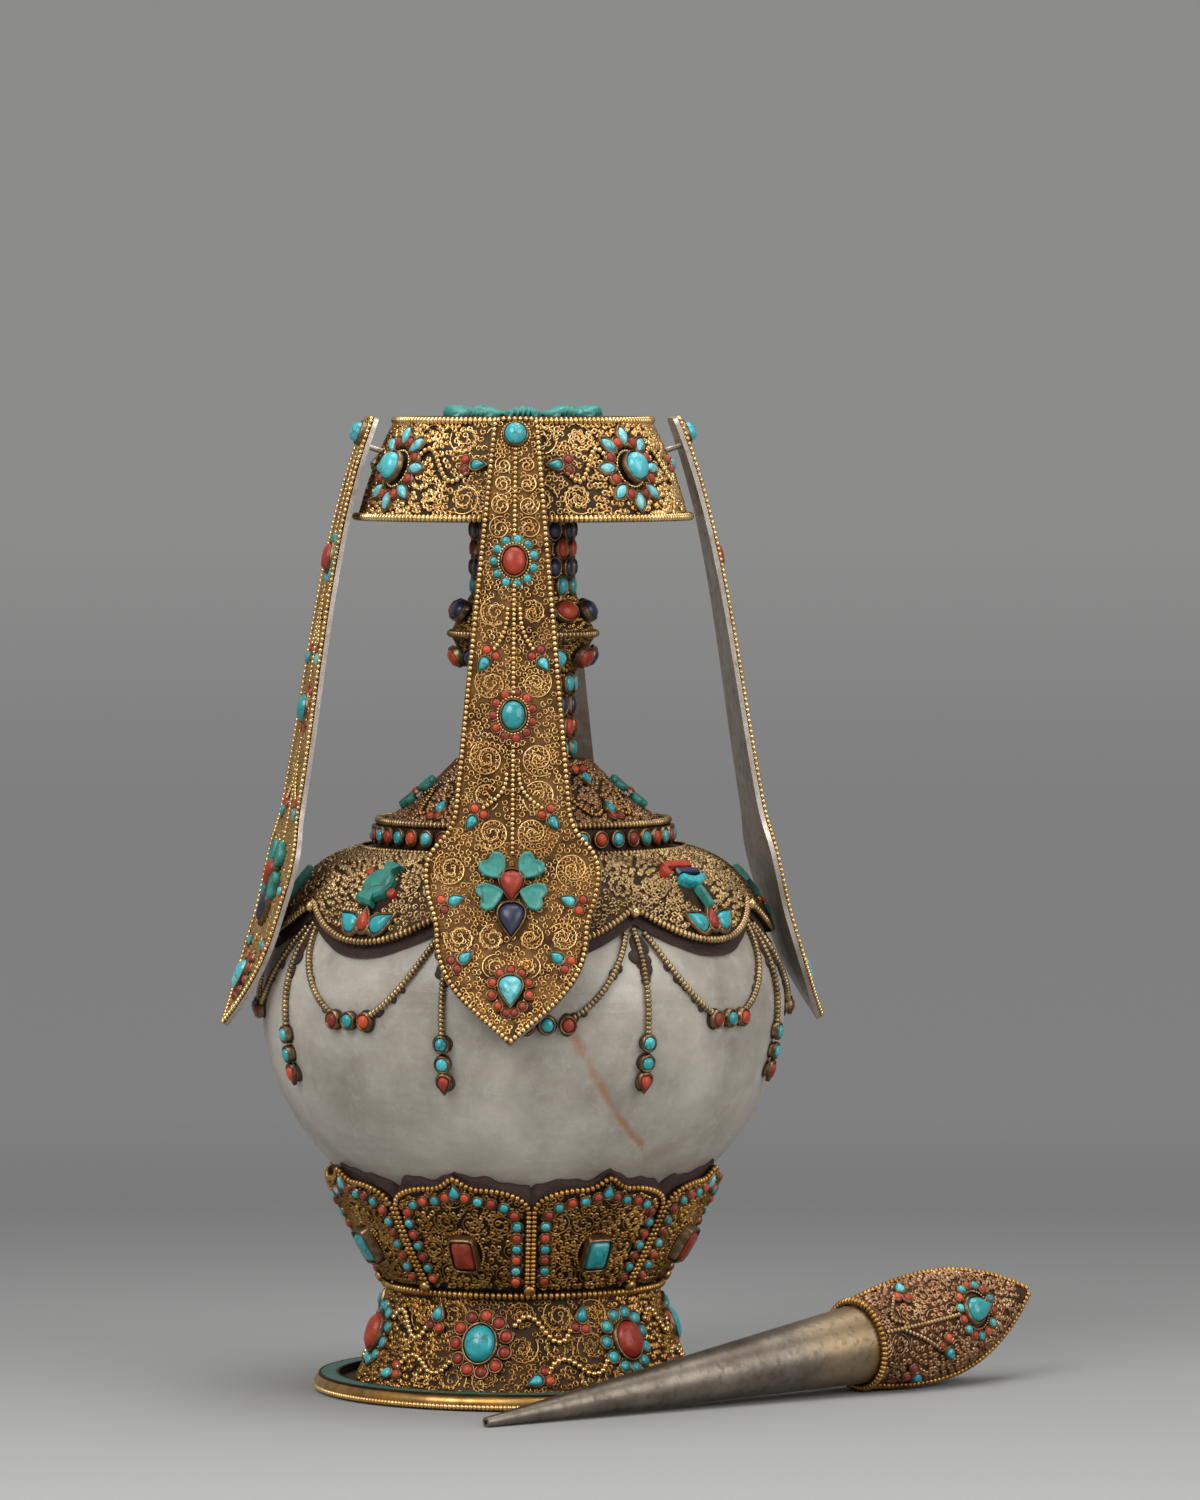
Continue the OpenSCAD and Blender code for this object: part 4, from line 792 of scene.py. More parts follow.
class LappetFace(Sheet):
    # a bent leaf facing +X; a place on it is a side offset and a length up from the tip
    def __init__(self, sizes):
        line = cubic(sizes.profile, np.linspace(1.0, 0.0, 401))
        self.follow(line, np.gradient(line, axis=0))
        self.tall = line[:, 1] - sizes.tip
        t = np.linspace(0.0, 1.0, 21)
        corner, top = sizes.corner, sizes.stem[1]
        bend = np.radians(np.linspace(0, 90, 7))
        rounding = np.stack([top[0] - corner * (1 - np.cos(bend)), top[1] + corner * np.sin(bend)], 1)
        self.edge = np.concatenate([*(cubic(c, t) for c in sizes.bends), np.array(sizes.stem, float), rounding])
        self.trim, self.bare = sizes.trim, sizes.bare
        self.length = self.lengthAt(sizes.long + sizes.trim)

    def lengthAt(self, h):
        return float(np.interp(h, self.tall, self.along))

    def width(self, y):
        h = np.interp(y, self.along, self.tall) - self.trim
        return np.interp(h, self.edge[:, 1], self.edge[:, 0])

    def many(self, x, y, lift=0.0):
        x = np.asarray(x, float)
        r, z, ur, uz = self.profile(np.asarray(y, float))
        zero = 0 * x
        out = np.stack([uz, zero, -ur], 1)
        places = np.stack([r, x, z], 1) + np.asarray(lift).reshape(-1, 1) * out
        return places, out, np.stack([zero, zero + 1, zero], 1), np.stack([ur, zero, uz], 1)

    def shift(self, x, y, dx, dy):
        return x + dx, y + dy

    def apart(self, x, y, x0, y0):
        return np.asarray(x) - x0, np.asarray(y) - y0

    def grid(self, low, high, pitch):
        xs, ys = [], []
        for k, y in enumerate(np.arange(low, high, pitch * weave.rowStep)):
            half = float(self.width(y)) - self.bare
            count = int(half / pitch)
            row = (np.arange(-count, count + 1) + 0.5 * (k % 2)) * pitch
            row = row[np.abs(row) < half]
            xs.append(row)
            ys.append(np.full(len(row), y))
        return np.concatenate(xs), np.concatenate(ys)


footFace = Turned((43.6, 2.4), (38.182, 12.606), (35.0, 26.7))
cupFace = Turned((35.4, 28.9), (45.8, 43.528), (52.97, 60.7))
domeFace = Turned((64.55, 118.7), (57.15, 140.5), (38.7, 141.6))
bellFace = Turned((36.4, 147.5), (27.0, 153.415), (16.6, 164.4))
crownFace = Turned((42.4, 226.4), (39.3, 239.85), (32.2, 253.3))
lappetFace = LappetFace(lappetSizes)

# filigree: roundels of curls wound in spirals, and curls that fill the rest; lengths as shares of the pitch,
# apart from those of the rim wires and the gap between roundels, in millimetres
weave = Specs(seed=11, sway=0.22, sizes=(0.92, 1.06), rowStep=0.92, core=0.42, coil=1.02, step=0.93, margin=0.3,
    lead=0.6, hook=2.2, fill=0.42, off=0.15, apart=0.84, stray=1.1, rimStart=0.25, rimIn=0.1, rimTurns=1.9,
    rimPoints=44, rimLift=0.28, rimRadius=0.2, rimSides=4, between=0.3, slack=0.2, spare=0.35)


def thinned(points, gap, hand):
    # picks points in random order, none nearer than gap to another
    cells, kept = {}, []
    near = [(i, j, k) for i in (-1, 0, 1) for j in (-1, 0, 1) for k in (-1, 0, 1)]
    for index in hand.permutation(len(points)):
        x, y, z = points[index].tolist()
        a, b, c = int(x // gap), int(y // gap), int(z // gap)
        if all((x - u) ** 2 + (y - v) ** 2 + (z - w) ** 2 > gap * gap
               for i, j, k in near for u, v, w in cells.get((a + i, b + j, c + k), ())):
            cells.setdefault((a, b, c), []).append((x, y, z))
            kept.append(index)
    return np.array(kept, int)


def runsOf(points, keep):
    # the unbroken stretches of a line that are kept, of three points or more
    runs, run = [], []
    for i in range(len(points)):
        if keep[i]:
            run.append(points[i])
        if (not keep[i] or i == len(points) - 1) and run:
            if len(run) > 2:
                runs.append(run)
            run = []
    return runs


def filigree(surface, roundels, low, high, pitch, allowed, keepOut, lift=0.0):
    # rows of curls and the paths of the roundels' rim wires
    rows, rims = [], []
    hand = np.random.default_rng(weave.seed)

    def lay(x, y, ahead):
        p, out, around, up = surface.many(x, y, lift)
        ahead = ahead + hand.normal(0.0, weave.sway, len(p))
        way = np.cos(ahead)[:, None] * around + np.sin(ahead)[:, None] * up
        scale = pitch * hand.uniform(*weave.sizes, (len(p), 1)) * np.ones((1, 3))
        rows.append(np.concatenate([p, out, way, scale], 1))

    def clear(x, y):
        keep = allowed(x, y)
        for x0, y0, r in keepOut:
            dx, dy = surface.apart(x, y, x0, y0)
            keep &= dx * dx + dy * dy > r * r
        return keep

    for k, (x0, y0, r) in enumerate(roundels):
        sense = 1 if k % 2 else -1
        start = hand.uniform(0, 2 * math.pi)
        turns, angle, radius = [], 0.0, weave.core * pitch
        while radius < r - weave.margin * pitch:
            turns.append((radius, angle))
            angle += weave.step * pitch / radius
            radius = weave.core * pitch + weave.coil * pitch * angle / (2 * math.pi)
        radius, angle = (np.array(v) for v in zip(*turns))
        angle = start + sense * (angle + weave.lead)
        x, y = surface.shift(x0, y0, radius * np.cos(angle), radius * np.sin(angle))
        keep = clear(x, y)
        lay(x[keep], y[keep], (angle + sense * weave.hook)[keep])
        t = np.linspace(0, 1, weave.rimPoints)
        reach = weave.rimStart + (r - weave.rimIn) * t
        angle = start + sense * 2 * math.pi * weave.rimTurns * t
        x, y = surface.shift(x0, y0, reach * np.cos(angle), reach * np.sin(angle))
        rims += runsOf(surface.many(x, y, lift + weave.rimLift)[0], clear(x, y))
    x, y = surface.grid(low, high, weave.fill * pitch)
    keep = clear(x, y)
    near, ahead = np.full(len(x), 1e9), np.zeros(len(x))
    for x0, y0, r in roundels:
        dx, dy = surface.apart(x, y, x0, y0)
        gap = np.hypot(dx, dy) - r
        closer = gap < near
        near = np.where(closer, gap, near)
        ahead = np.where(closer, np.arctan2(dy, dx) + math.pi / 2, ahead)
    keep &= near > weave.off * pitch
    x, y, ahead = x[keep], y[keep], ahead[keep]
    keep = thinned(surface.many(x, y, lift)[0], weave.apart * pitch, hand)
    lay(x[keep], y[keep], ahead[keep] + hand.normal(0.0, weave.stray, len(keep)))
    return np.concatenate(rows), rims


def roundelRows(surface, low, high, radius, keepOut, allowed):
    # places of roundels in rows, where they fit
    gap = weave.between
    count = max(1, round((high - low) / (2 * radius + gap)))
    step = (high - low) / count
    found = []
    for k in range(count):
        y = low + (k + 0.5) * step
        around = int(2 * math.pi * float(surface.radius(y)) / (2 * radius + gap))
        for i in range(around):
            x = (i + 0.5 * (k % 2)) * 360.0 / around
            near = [math.hypot(*(float(v) for v in surface.apart(x, y, x0, y0))) - r for x0, y0, r in keepOut]
            free = not near or min(near) > weave.spare * radius
            if free and bool(allowed(np.array([x]), np.array([y]))[0]):
                found.append((x, y, min(radius, 0.5 * (step - gap) + weave.slack)))
    return found


def everywhere(x, y):
    return np.ones(len(x), bool)


def weaveOver(surface, size, keepOut, lined=(), allowed=everywhere):
    # rows and rims for a whole round sheet; the edges are bare strips at its foot and head
    low, high = size.roundelEdges
    roundels = roundelRows(surface, low, surface.length - high, size.roundel, keepOut, allowed)
    low, high = size.curlEdges
    return filigree(surface, roundels, low, surface.length - high, size.pitch, allowed, keepOut + list(lined))


def curlPiece(name, rows, rims, finish):
    made = [scattered(name, rows, curl, finish)]
    if rims:
        made.append(wires(name + "Rims", rims, weave.rimRadius, weave.rimSides, finish))
    return joined(name, made)


def spinMatrix(az):
    c, s = math.cos(math.radians(az)), math.sin(math.radians(az))
    return np.array([[c, -s, 0], [s, c, 0], [0, 0, 1.0]])


def turnedAz(rows, az):
    # turns points, or rows of point, facing, along and size, about the axis
    rows = np.array(rows, float)
    parts = [rows[:, i:i + 3] @ spinMatrix(az).T for i in range(0, min(9, rows.shape[1]), 3)]
    return np.concatenate([*parts, rows[:, 9:]], 1)


def spun(paths, az):
    return [turnedAz(path, az) for path in paths]


def hoop(radius, z):
    a = np.linspace(0, 2 * math.pi, 240, endpoint=False)
    return np.stack([radius * np.cos(a), radius * np.sin(a), 0 * a + z], 1)


# the studio: camera, floor and backdrop in one sweep, soft lamps; metres and watts
studio = Specs(camera=(0.020, -2.210, 0.2642), pitchDown=2.53, lens=204.0, floor=(-4.0, -1.0), sweepStart=2.7,
    sweepRadius=0.6, wallTop=2.6, half=6.0, aim=(0.0, 0.0, 0.14), world=0.42)
lamps = Specs(keyLamp=Specs(place=(-1.15, -1.5, 1.65), size=1.3, power=34.0),
    fillLamp=Specs(place=(1.5, -1.3, 0.95), size=1.5, power=21.5),
    topLamp=Specs(place=(0.15, 0.1, 1.9), size=1.3, power=20.0))
# near fades to the darker back colour as painted light falloff; low and high, over rise, are the painted glow of the
# far paper
paper = Specs(near=(0.37, 0.37, 0.37), back=(0.14, 0.14, 0.14), backFrom=(-0.25, 0.5), farFrom=(0.2, 0.8),
    low=(0.2, 0.2, 0.2), high=(0.258, 0.258, 0.255), rise=(0.0, 0.16))


def makeCamera(look):
    camera = bpy.data.objects.new("camera", bpy.data.cameras.new("camera"))
    camera.location = look.camera
    camera.rotation_euler = (math.radians(90.0 - look.pitchDown), 0.0, 0.0)
    camera.data.lens = look.lens
    camera.data.sensor_width = 36.0
    camera.data.clip_end = 50.0
    scene.collection.objects.link(camera)
    scene.camera = camera


def paperAndGlowFinish(look):
    # near the vase the paper takes real shadows and is painted darker towards the back as painted light falloff; far
    # away it has no colour of its own and shows a painted glow, brighter upwards, to camera, glossy and transmission
    # rays
    f = Finish("backdropPaper", Specular_IOR_Level=0.15, Roughness=0.9, Emission_Strength=1.0)
    black = rgb(0.0, 0.0, 0.0)
    far = f.axis(1).ramp(*look.farFrom)
    camera, glossy, through = (f.val.node("ShaderNodeLightPath", {}, {}, "Is " + ray + " Ray")
                               for ray in ("Camera", "Glossy", "Transmission"))
    # painted light falloff: darker away from the front
    colour = f.axis(1).ramp(*look.backFrom).mix(rgb(*look.near), rgb(*look.back))
    f.feed("Base Color", far.mix(colour, black))
    # painted glow, lighter upwards, seen only by camera, glossy and transmission rays
    paintedGlow = f.axis(2).ramp(*look.rise).mix(rgb(*look.low), rgb(*look.high))
    f.feed("Emission Color", (far * (camera + glossy + through)).mix(black, paintedGlow))
    return f.material


def makeBackdrop(look):
    start, radius = look.sweepStart, look.sweepRadius
    bend = np.radians(np.linspace(0, 90, 17))
    profile = [(y, 0.0) for y in look.floor]
    profile += [(start + radius * math.sin(a), radius * (1 - math.cos(a))) for a in bend]
    profile.append((start + radius, look.wallTop))
    points = [(side * look.half, y, z) for y, z in profile for side in (-1, 1)]
    faces = [(2 * i, 2 * i + 1, 2 * i + 3, 2 * i + 2) for i in range(len(profile) - 1)]
    mesh = bpy.data.meshes.new("backdrop")
    mesh.from_pydata(points, [], faces)
    mesh.polygons.foreach_set("use_smooth", [True] * len(faces))
    mesh.materials.append(paperAndGlowFinish(paper))
    linked("backdrop", mesh)


def makeLight(look):
    for name, lamp in lamps.items():
        light = bpy.data.lights.new(name, "AREA")
        light.size, light.energy = lamp.size, lamp.power
        lampObject = bpy.data.objects.new(name, light)
        lampObject.location = lamp.place
        way = Vector(look.aim) - Vector(lamp.place)
        lampObject.rotation_euler = way.to_track_quat("-Z", "Y").to_euler()
        scene.collection.objects.link(lampObject)
    scene.world = bpy.data.worlds.new("studioAir")
    scene.world.use_nodes = True
    air = scene.world.node_tree.nodes["Background"]
    air.inputs["Color"].default_value = rgb(1.0, 0.99, 0.97)
    air.inputs["Strength"].default_value = look.world


makeCamera(studio)
makeBackdrop(studio)
makeLight(studio)
print("studio ready")


# stones and lines on a surface; keepOut and lined note places, with their reach, where no curl goes
gemFinishes = Specs(turquoise=(turquoise, "turquoise"), coral=(coral, "coral"), lapis=(lapis, "lapis"),
    carved=(carvedTurquoise, "turquoise"))
rosette = Specs(lift=0.5, ringLift=0.25, ringRise=1.3)
trio = Specs(lift=0.3, rise=1.4, apart=3.9, splay=21.0, dropRoom=1.9, coralRoom=1.6)
lineRoom, waveRoom = 0.95, 1.3


def newGems():
    return {key: Stones() for key in gemFinishes}


def movedGems(gems, move):
    # the same stones in other places
    found = newGems()
    for key, stones in gems.items():
        for shape, rows in stones.rows.items():
            found[key].rows[shape] = move(rows).tolist()
            found[key].tones[shape] = list(stones.tones[shape])
    return found


def cluster(gems, keepOut, surface, x, y, heading, drop=(4.0, 2.8, 1.8), small=2.3):
    # a turquoise drop that points along heading, with two corals behind it
    x, y = float(x), float(y)
    gems["turquoise"].add("drop", surface.spot(x, y, trio.lift, 90 - heading), drop)
    keepOut.append((x, y, trio.dropRoom))
    for side in (-1, 1):
        a = math.radians(heading + 180 + side * trio.splay)
        place = surface.beside(x, y, trio.apart * math.cos(a), trio.apart * math.sin(a))
        gems["coral"].add("round", surface.spot(*place, trio.lift), (small, small, trio.rise))
        keepOut.append((*place, trio.coralRoom))


def bigRosette(gems, surface, x, y, oval, kinds, ring):
    # a big stone in a ring of small ones; ring: how many, how far from the big one, how wide
    big, small = kinds
    count, away, wide = ring
    gems[big].add("round", surface.spot(x, y, rosette.lift), oval, big=True)
    for k in range(count):
        a = 2 * math.pi * (k + 0.5) / count
        place = surface.beside(x, y, (oval[1] / 2 + away) * math.cos(a), (oval[0] / 2 + away) * math.sin(a))
        spot = surface.spot(*place, rosette.ringLift, 90 - math.degrees(a))
        gems[small].add("round", spot, (wide, wide, rosette.ringRise))


def ringPath(surface, x, y, wire, base=0.0):
    # wire: half its width, half its height and its lift
    wide, high, lift = wire
    a = np.linspace(0, 2 * math.pi, 40, endpoint=False)
    px, py = surface.shift(x, y, wide * np.cos(a), high * np.sin(a))
    return surface.many(px, py, base + lift)[0]


def surfacePath(surface, places, lift, lined):
    # a smooth line through places on a surface
    places = np.array(places, float)
    slope = np.gradient(places, axis=0)
    fine = np.linspace(0, len(places) - 1.0, 10 * len(places))
    i = np.minimum(fine.astype(int), len(places) - 2)
    t = (fine - i)[:, None]
    a, b, da, db = places[i], places[i + 1], slope[i], slope[i + 1]
    line = ((2 * t ** 3 - 3 * t * t + 1) * a + (t ** 3 - 2 * t * t + t) * da
            + (3 * t * t - 2 * t ** 3) * b + (t ** 3 - t * t) * db)
    lined += [(float(x), float(y), lineRoom) for x, y in line]
    return surface.many(line[:, 0], line[:, 1], lift)[0]


def wavePath(surface, start, stop, sway, lift, lined):
    # a double bend from one place to another
    t = np.linspace(0, 1, 25)
    x = start[0] + (stop[0] - start[0]) * t
    y = start[1] + (stop[1] - start[1]) * t + sway * np.sin(2 * math.pi * t)
    lined += [(float(a), float(b), waveRoom) for a, b in zip(x, y)]
    return surface.many(x, y, lift)[0]


def setGems(prefix, gems, body, replaced):
    # stones of each kind, and one piece of all their settings
    for key, (finish, slot) in gemFinishes.items():
        if gems[key].rows:
            ridden(gems[key].build(prefix + "_" + key, finish), body, slot, replaced.get(key, ()))
    settings = [thing for key in ("turquoise", "coral", "lapis") if gems[key].rows
                for thing in gems[key].bezels(prefix + "_settings", bezelBrass)]
    return ridden(joined(prefix + "_settings", settings), body, "dark_gilt", replaced.get("settings", ()))


def withinPart(x, first, half):
    # the turn from the middle of the petal or lobe that x falls on
    return (np.asarray(x, float) - first + half) % (2 * half) - half


# foot: six rosettes, clusters and wave lines between them, beads on the rim and round the waist
foot = Specs(stones=6, first=254.0, level=0.57, oval=(9.8, 8.2, 3.4), ring=(11, 2.6, 3.0), wire=(5.0, 5.9, 0.45),
    upperLine=[(13.2, 20.2), (16.8, 22.3), (21.0, 21.7), (25.2, 18.4), (29.0, 16.0), (32.6, 16.3), (35.0, 18.6)],
    lowerLine=[(25.4, 8.2), (28.4, 10.8), (32.4, 11.5), (36.8, 9.9), (40.8, 7.8), (45.2, 7.9), (48.6, 10.5)],
    clusters=[(40.5, 22.6, 78.0), (20.5, 6.0, 205.0)], drop=(4.2, 3.1, 2.0), coral=2.5, pitch=1.75, roundel=4.4,
    roundelEdges=(0.6, 0.4), curlEdges=(0.8, 0.6), rim=(54.3, 1.15), waist=(36.1, 27.75))


def makeFoot(size):
    gems, rings, waves, keepOut, lined = newGems(), [], [], [], []
    y = footFace.lengthAt(size.level)
    step = 360.0 / size.stones
    for i in range(size.stones):
        x = size.first + i * step
        kinds = ("turquoise", "coral") if i % 2 == 0 else ("coral", "turquoise")
        bigRosette(gems, footFace, x, y, size.oval, kinds, size.ring)
        rings.append(ringPath(footFace, x, y, size.wire))
        keepOut.append((x, y, 7.6))
        for turn, z, heading in size.clusters:
            up = footFace.lengthAtHeight(z)
            cluster(gems, keepOut, footFace, x + turn, up, heading, size.drop, size.coral)
        for key in ("upperLine", "lowerLine"):
            places = [(x + turn, footFace.lengthAtHeight(z)) for turn, z in size[key]]
            waves.append(surfacePath(footFace, places, 0.7, lined))
    rows, rims = weaveOver(footFace, size, keepOut, lined)
    ridden(curlPiece("foot_filigree", rows, rims, brownWire), "vase", "dark_gilt")
    made = [beads("foot_bead_lines", rings, (0.5, 1.0, 0.92), brownWire, True),
            beads("waves", waves, (0.85, 1.45, 0.92), beadGold)]
    ridden(joined("foot_bead_lines", made), "vase", "dark_gilt")
    setGems("foot", gems, "vase", {"turquoise": ["base_turquoise_stones"], "coral": ["base_coral_stones"],
                                   "settings": ["base_bezels"]})
    rim = beads("base_rim_beads", [hoop(*size.rim)], (0.72, 1.12, 0.92), brightWire, True)
    ridden(rim, "vase", "dark_gilt")
    waist = beads("waist_beads", [hoop(*size.waist)], (1.05, 1.5, 0.72), brownWire, True)
    ridden(waist, "vase", "bright_gilt", ["waist_wire"])


makeFoot(foot)
print("foot done")

# the crystal belly, as the cup's bedding and the garland need it
belly = Specs(radius=68.1, middle=102.0, down=63.0, up=44.0)


def bellyRadius(z):
    half = np.where(np.asarray(z) > belly.middle, belly.up, belly.down)
    return belly.radius * np.sqrt(1 - ((z - belly.middle) / half) ** 2)


def onBelly(az, z, lift):
    half = belly.up if z > belly.middle else belly.down
    r = float(bellyRadius(z))
    normal = unit(np.array([r / belly.radius ** 2, (z - belly.middle) / half ** 2]))
    c, s = math.cos(math.radians(az)), math.sin(math.radians(az))
    out = np.array([normal[0] * c, normal[0] * s, normal[1]])
    up = np.array([-normal[1] * c, -normal[1] * s, normal[0]])
    return np.array([r * c, r * s, z]) + lift * out, out, up


# lotus cup: eight petals with a bead border, a row of small stones inside it and a table stone each
cup = Specs(petals=8, first=295.5, foot=28.9, top=60.7, depth=9.0, shoulderAt=0.35, shoulder=0.62,
    border=Specs(inset=0.7, low=0.9, lift=0.6), row=Specs(inset=3.6, low=3.4, stones=23, lift=0.2,
    stone=(2.45, 2.45, 1.6)), peak=(4.0, 3.0, 1.7), level=0.37, slab=(8.8, 6.0, 3.4), slabWire=(4.6, 6.1, 0.4),
    disc=(3.2, 3.2, 1.6), bareTop=2.2, bareSide=2.3, bareFoot=1.2, pitch=1.75, roundel=3.4, roundelEdges=(2.0, 3.0),
    curlEdges=(1.6, 0.0))
bedding = Specs(step=0.75, under=0.2, level=56.0, follow=0.6, valley=51.7, wall=1.25, deep=2.5,
    waves=[(17, 1.0, 0.45), (29, 2.2, 0.35), (53, 0.0, 0.25)])


def petalEdge(s, size):
    # height of a petal's edge, from its middle at 0 to its side at 1
    s = np.asarray(s, float)
    at, level = size.shoulderAt, size.shoulder
    flank = np.sqrt(np.maximum(0, 1 - ((s - at) / (1 - at)) ** 2)) * level
    peak = level + (1 - level) * (1 - s / at) ** 2
    return size.top - size.depth * (1 - np.where(s < at, peak, flank))


def petalPath(size, line):
    # places along one petal's border, from its foot up and over, as turn and length
    half, inset = 180.0 / size.petals, line.inset
    valley = float(petalEdge(1.0, size)) - inset
    heights = np.linspace(size.foot + line.low, valley, 14)

    def side(z):
        return half - np.degrees(inset / cupFace.radiusAtHeight(z))

    s = np.linspace(-0.97, 0.97, 30)
    x = np.concatenate([-side(heights), side(valley) * s, side(heights[::-1])])
    z = np.concatenate([heights, petalEdge(np.abs(s), size) - inset, heights[::-1]])
    return x, cupFace.lengthAtHeight(z)


def petalStones(gems, size, az):
    # the row inside one petal's border, with a drop at its peak
    row = size.row
    x, along = petalPath(size, row)
    run = runningLength(cupFace.many(x + az, along)[0])
    middle = row.stones // 2
    for k, place in enumerate(np.linspace(0, run[-1], row.stones)):
        px, py = float(np.interp(place, run, x)) + az, float(np.interp(place, run, along))
        key = "turquoise" if (k + middle) % 2 == 0 else "coral"
        if k == middle:
            gems[key].add("drop", cupFace.spot(px, py - 0.4, row.lift), size.peak)
        else:
            gems[key].add("round", cupFace.spot(px, py, row.lift), row.stone)


def makeCup(size):
    gems, keepOut, border, lines, discs = newGems(), [], [], [], []
    half = 180.0 / size.petals
    y = cupFace.lengthAt(size.level)
    for i in range(size.petals):
        az = size.first + i * 2 * half
        x, along = petalPath(size, size.border)
        border.append(cupFace.many(x + az, along, size.border.lift)[0])
        petalStones(gems, size, az)
        key = "turquoise" if i % 2 == 0 else "coral"
        gems[key].add("slab", cupFace.spot(az, y, 0.5), size.slab, big=True)
        lines.append(ringPath(cupFace, az, y, size.slabWire))
        keepOut.append((az, y, 5.0))
        point, out, up = cupFace.spot(az + half, 1.5, 0.9)
        discs.append([*point, *out, *up, *size.disc])

    def allowed(x, y):
        turn = np.abs(withinPart(x, size.first, half))
        aside = np.radians(half - turn) * cupFace.radius(y)
        below = cupFace.height(y) < petalEdge(turn / half, size) - size.bareTop
        return below & (aside > size.bareSide) & (np.asarray(y) > size.bareFoot)

    rows, rims = weaveOver(cupFace, size, keepOut, (), allowed)
    ridden(curlPiece("cup_filigree", rows, rims, brownWire), "vase", "dark_gilt")
    ridden(beads("petal_ribbed_wires", border, (0.82, 1.36, 0.8), brownWire), "vase", "bright_gilt",
           ["petal_border_wires"])
    ridden(beads("petal_bead_lines", lines, (0.42, 0.85, 0.92), brownWire, True), "vase", "bright_gilt")
    ridden(scattered("cup_discs", discs, pebble(), brownWire), "vase", "dark_gilt")
    setGems("cup", gems, "vase", {})
    makeBedding(size, bedding)


def makeBedding(size, strip):
    # the strip of lac that rises a little above the petals, with an uneven upper edge
    half = 180.0 / size.petals
    turns = np.arange(0, 360, strip.step)
    a = np.radians(turns)
    edge = petalEdge(np.abs(withinPart(turns, size.first, half)) / half, size) - strip.under
    uneven = sum(high * np.sin(number * a + start) for number, start, high in strip.waves)
    top = strip.level + strip.follow * (edge - strip.valley) + uneven
    wall = cupFace.radiusAtHeight(edge) - strip.wall
    low, crystal = edge - strip.deep, bellyRadius(top)
    rings = [(bellyRadius(low) - 0.2, low), (wall - 0.3, low), (wall, edge),
             (0.45 * wall + 0.55 * crystal + 0.5, 0.45 * edge + 0.55 * top), (crystal + 0.35, top - 0.3),
             (crystal - 0.2, top + 0.2)]
    points = [(r * math.cos(t), r * math.sin(t), z) for rs, zs in rings for r, t, z in zip(rs, a, zs)]
    count, faces = len(a), []
    for i in range(len(rings)):
        faces += ringFaces(i * count, (i + 1) % len(rings) * count, count)
    mesh = plainMesh("cup_lac_strip", points, faces, [lac])
    ridden(linked("cup_lac_strip", mesh), "vase", "lac", ["cup_lac_bedding"])


makeCup(cup)
print("cup done")

# shoulder dome: roped lobes, carved signs, a trio of stones at the foot of each lobe
shoulder = Specs(lobes=8, first=275.5, cusp=127.6, depth=8.9, ball=(2.6, 2.6, 2.2), signLevel=0.36,
    higher={1: 4.0, 7: 2.4}, lean={7: 16.0}, trioLevel=0.11, leaf=(7.4, 5.2, 2.0), leafOut=5.4, leafUp=0.9,
    leafTurn=58.0, drop=(6.0, 4.0, 2.3), bare=2.6, pitch=1.75, roundel=4.5, roundelEdges=(1.0, 3.5),
    curlEdges=(1.0, 3.5))


def lobeEdge(x, size):
    half = 180.0 / size.lobes
    turn = withinPart(x, size.first, half)
    s = np.sin(np.radians(half - np.abs(turn))) / math.sin(math.radians(half))
    return size.cusp - size.depth * np.sin(0.5 * math.pi * s)


def arcOutline(parts):
    # joins arcs and corners given as centre, radius, from and to, or as plain points
    line = []
    for part in parts:
        if len(part) == 2:
            line.append(part)
        else:
            cx, cy, r, start, stop = part
            line += [(cx + r * math.cos(math.radians(a)), cy + r * math.sin(math.radians(a)))
                     for a in np.linspace(start, stop, 7)]
    return line


def mirroredLine(half):
    return half + [(-x, y) for x, y in reversed(half)]


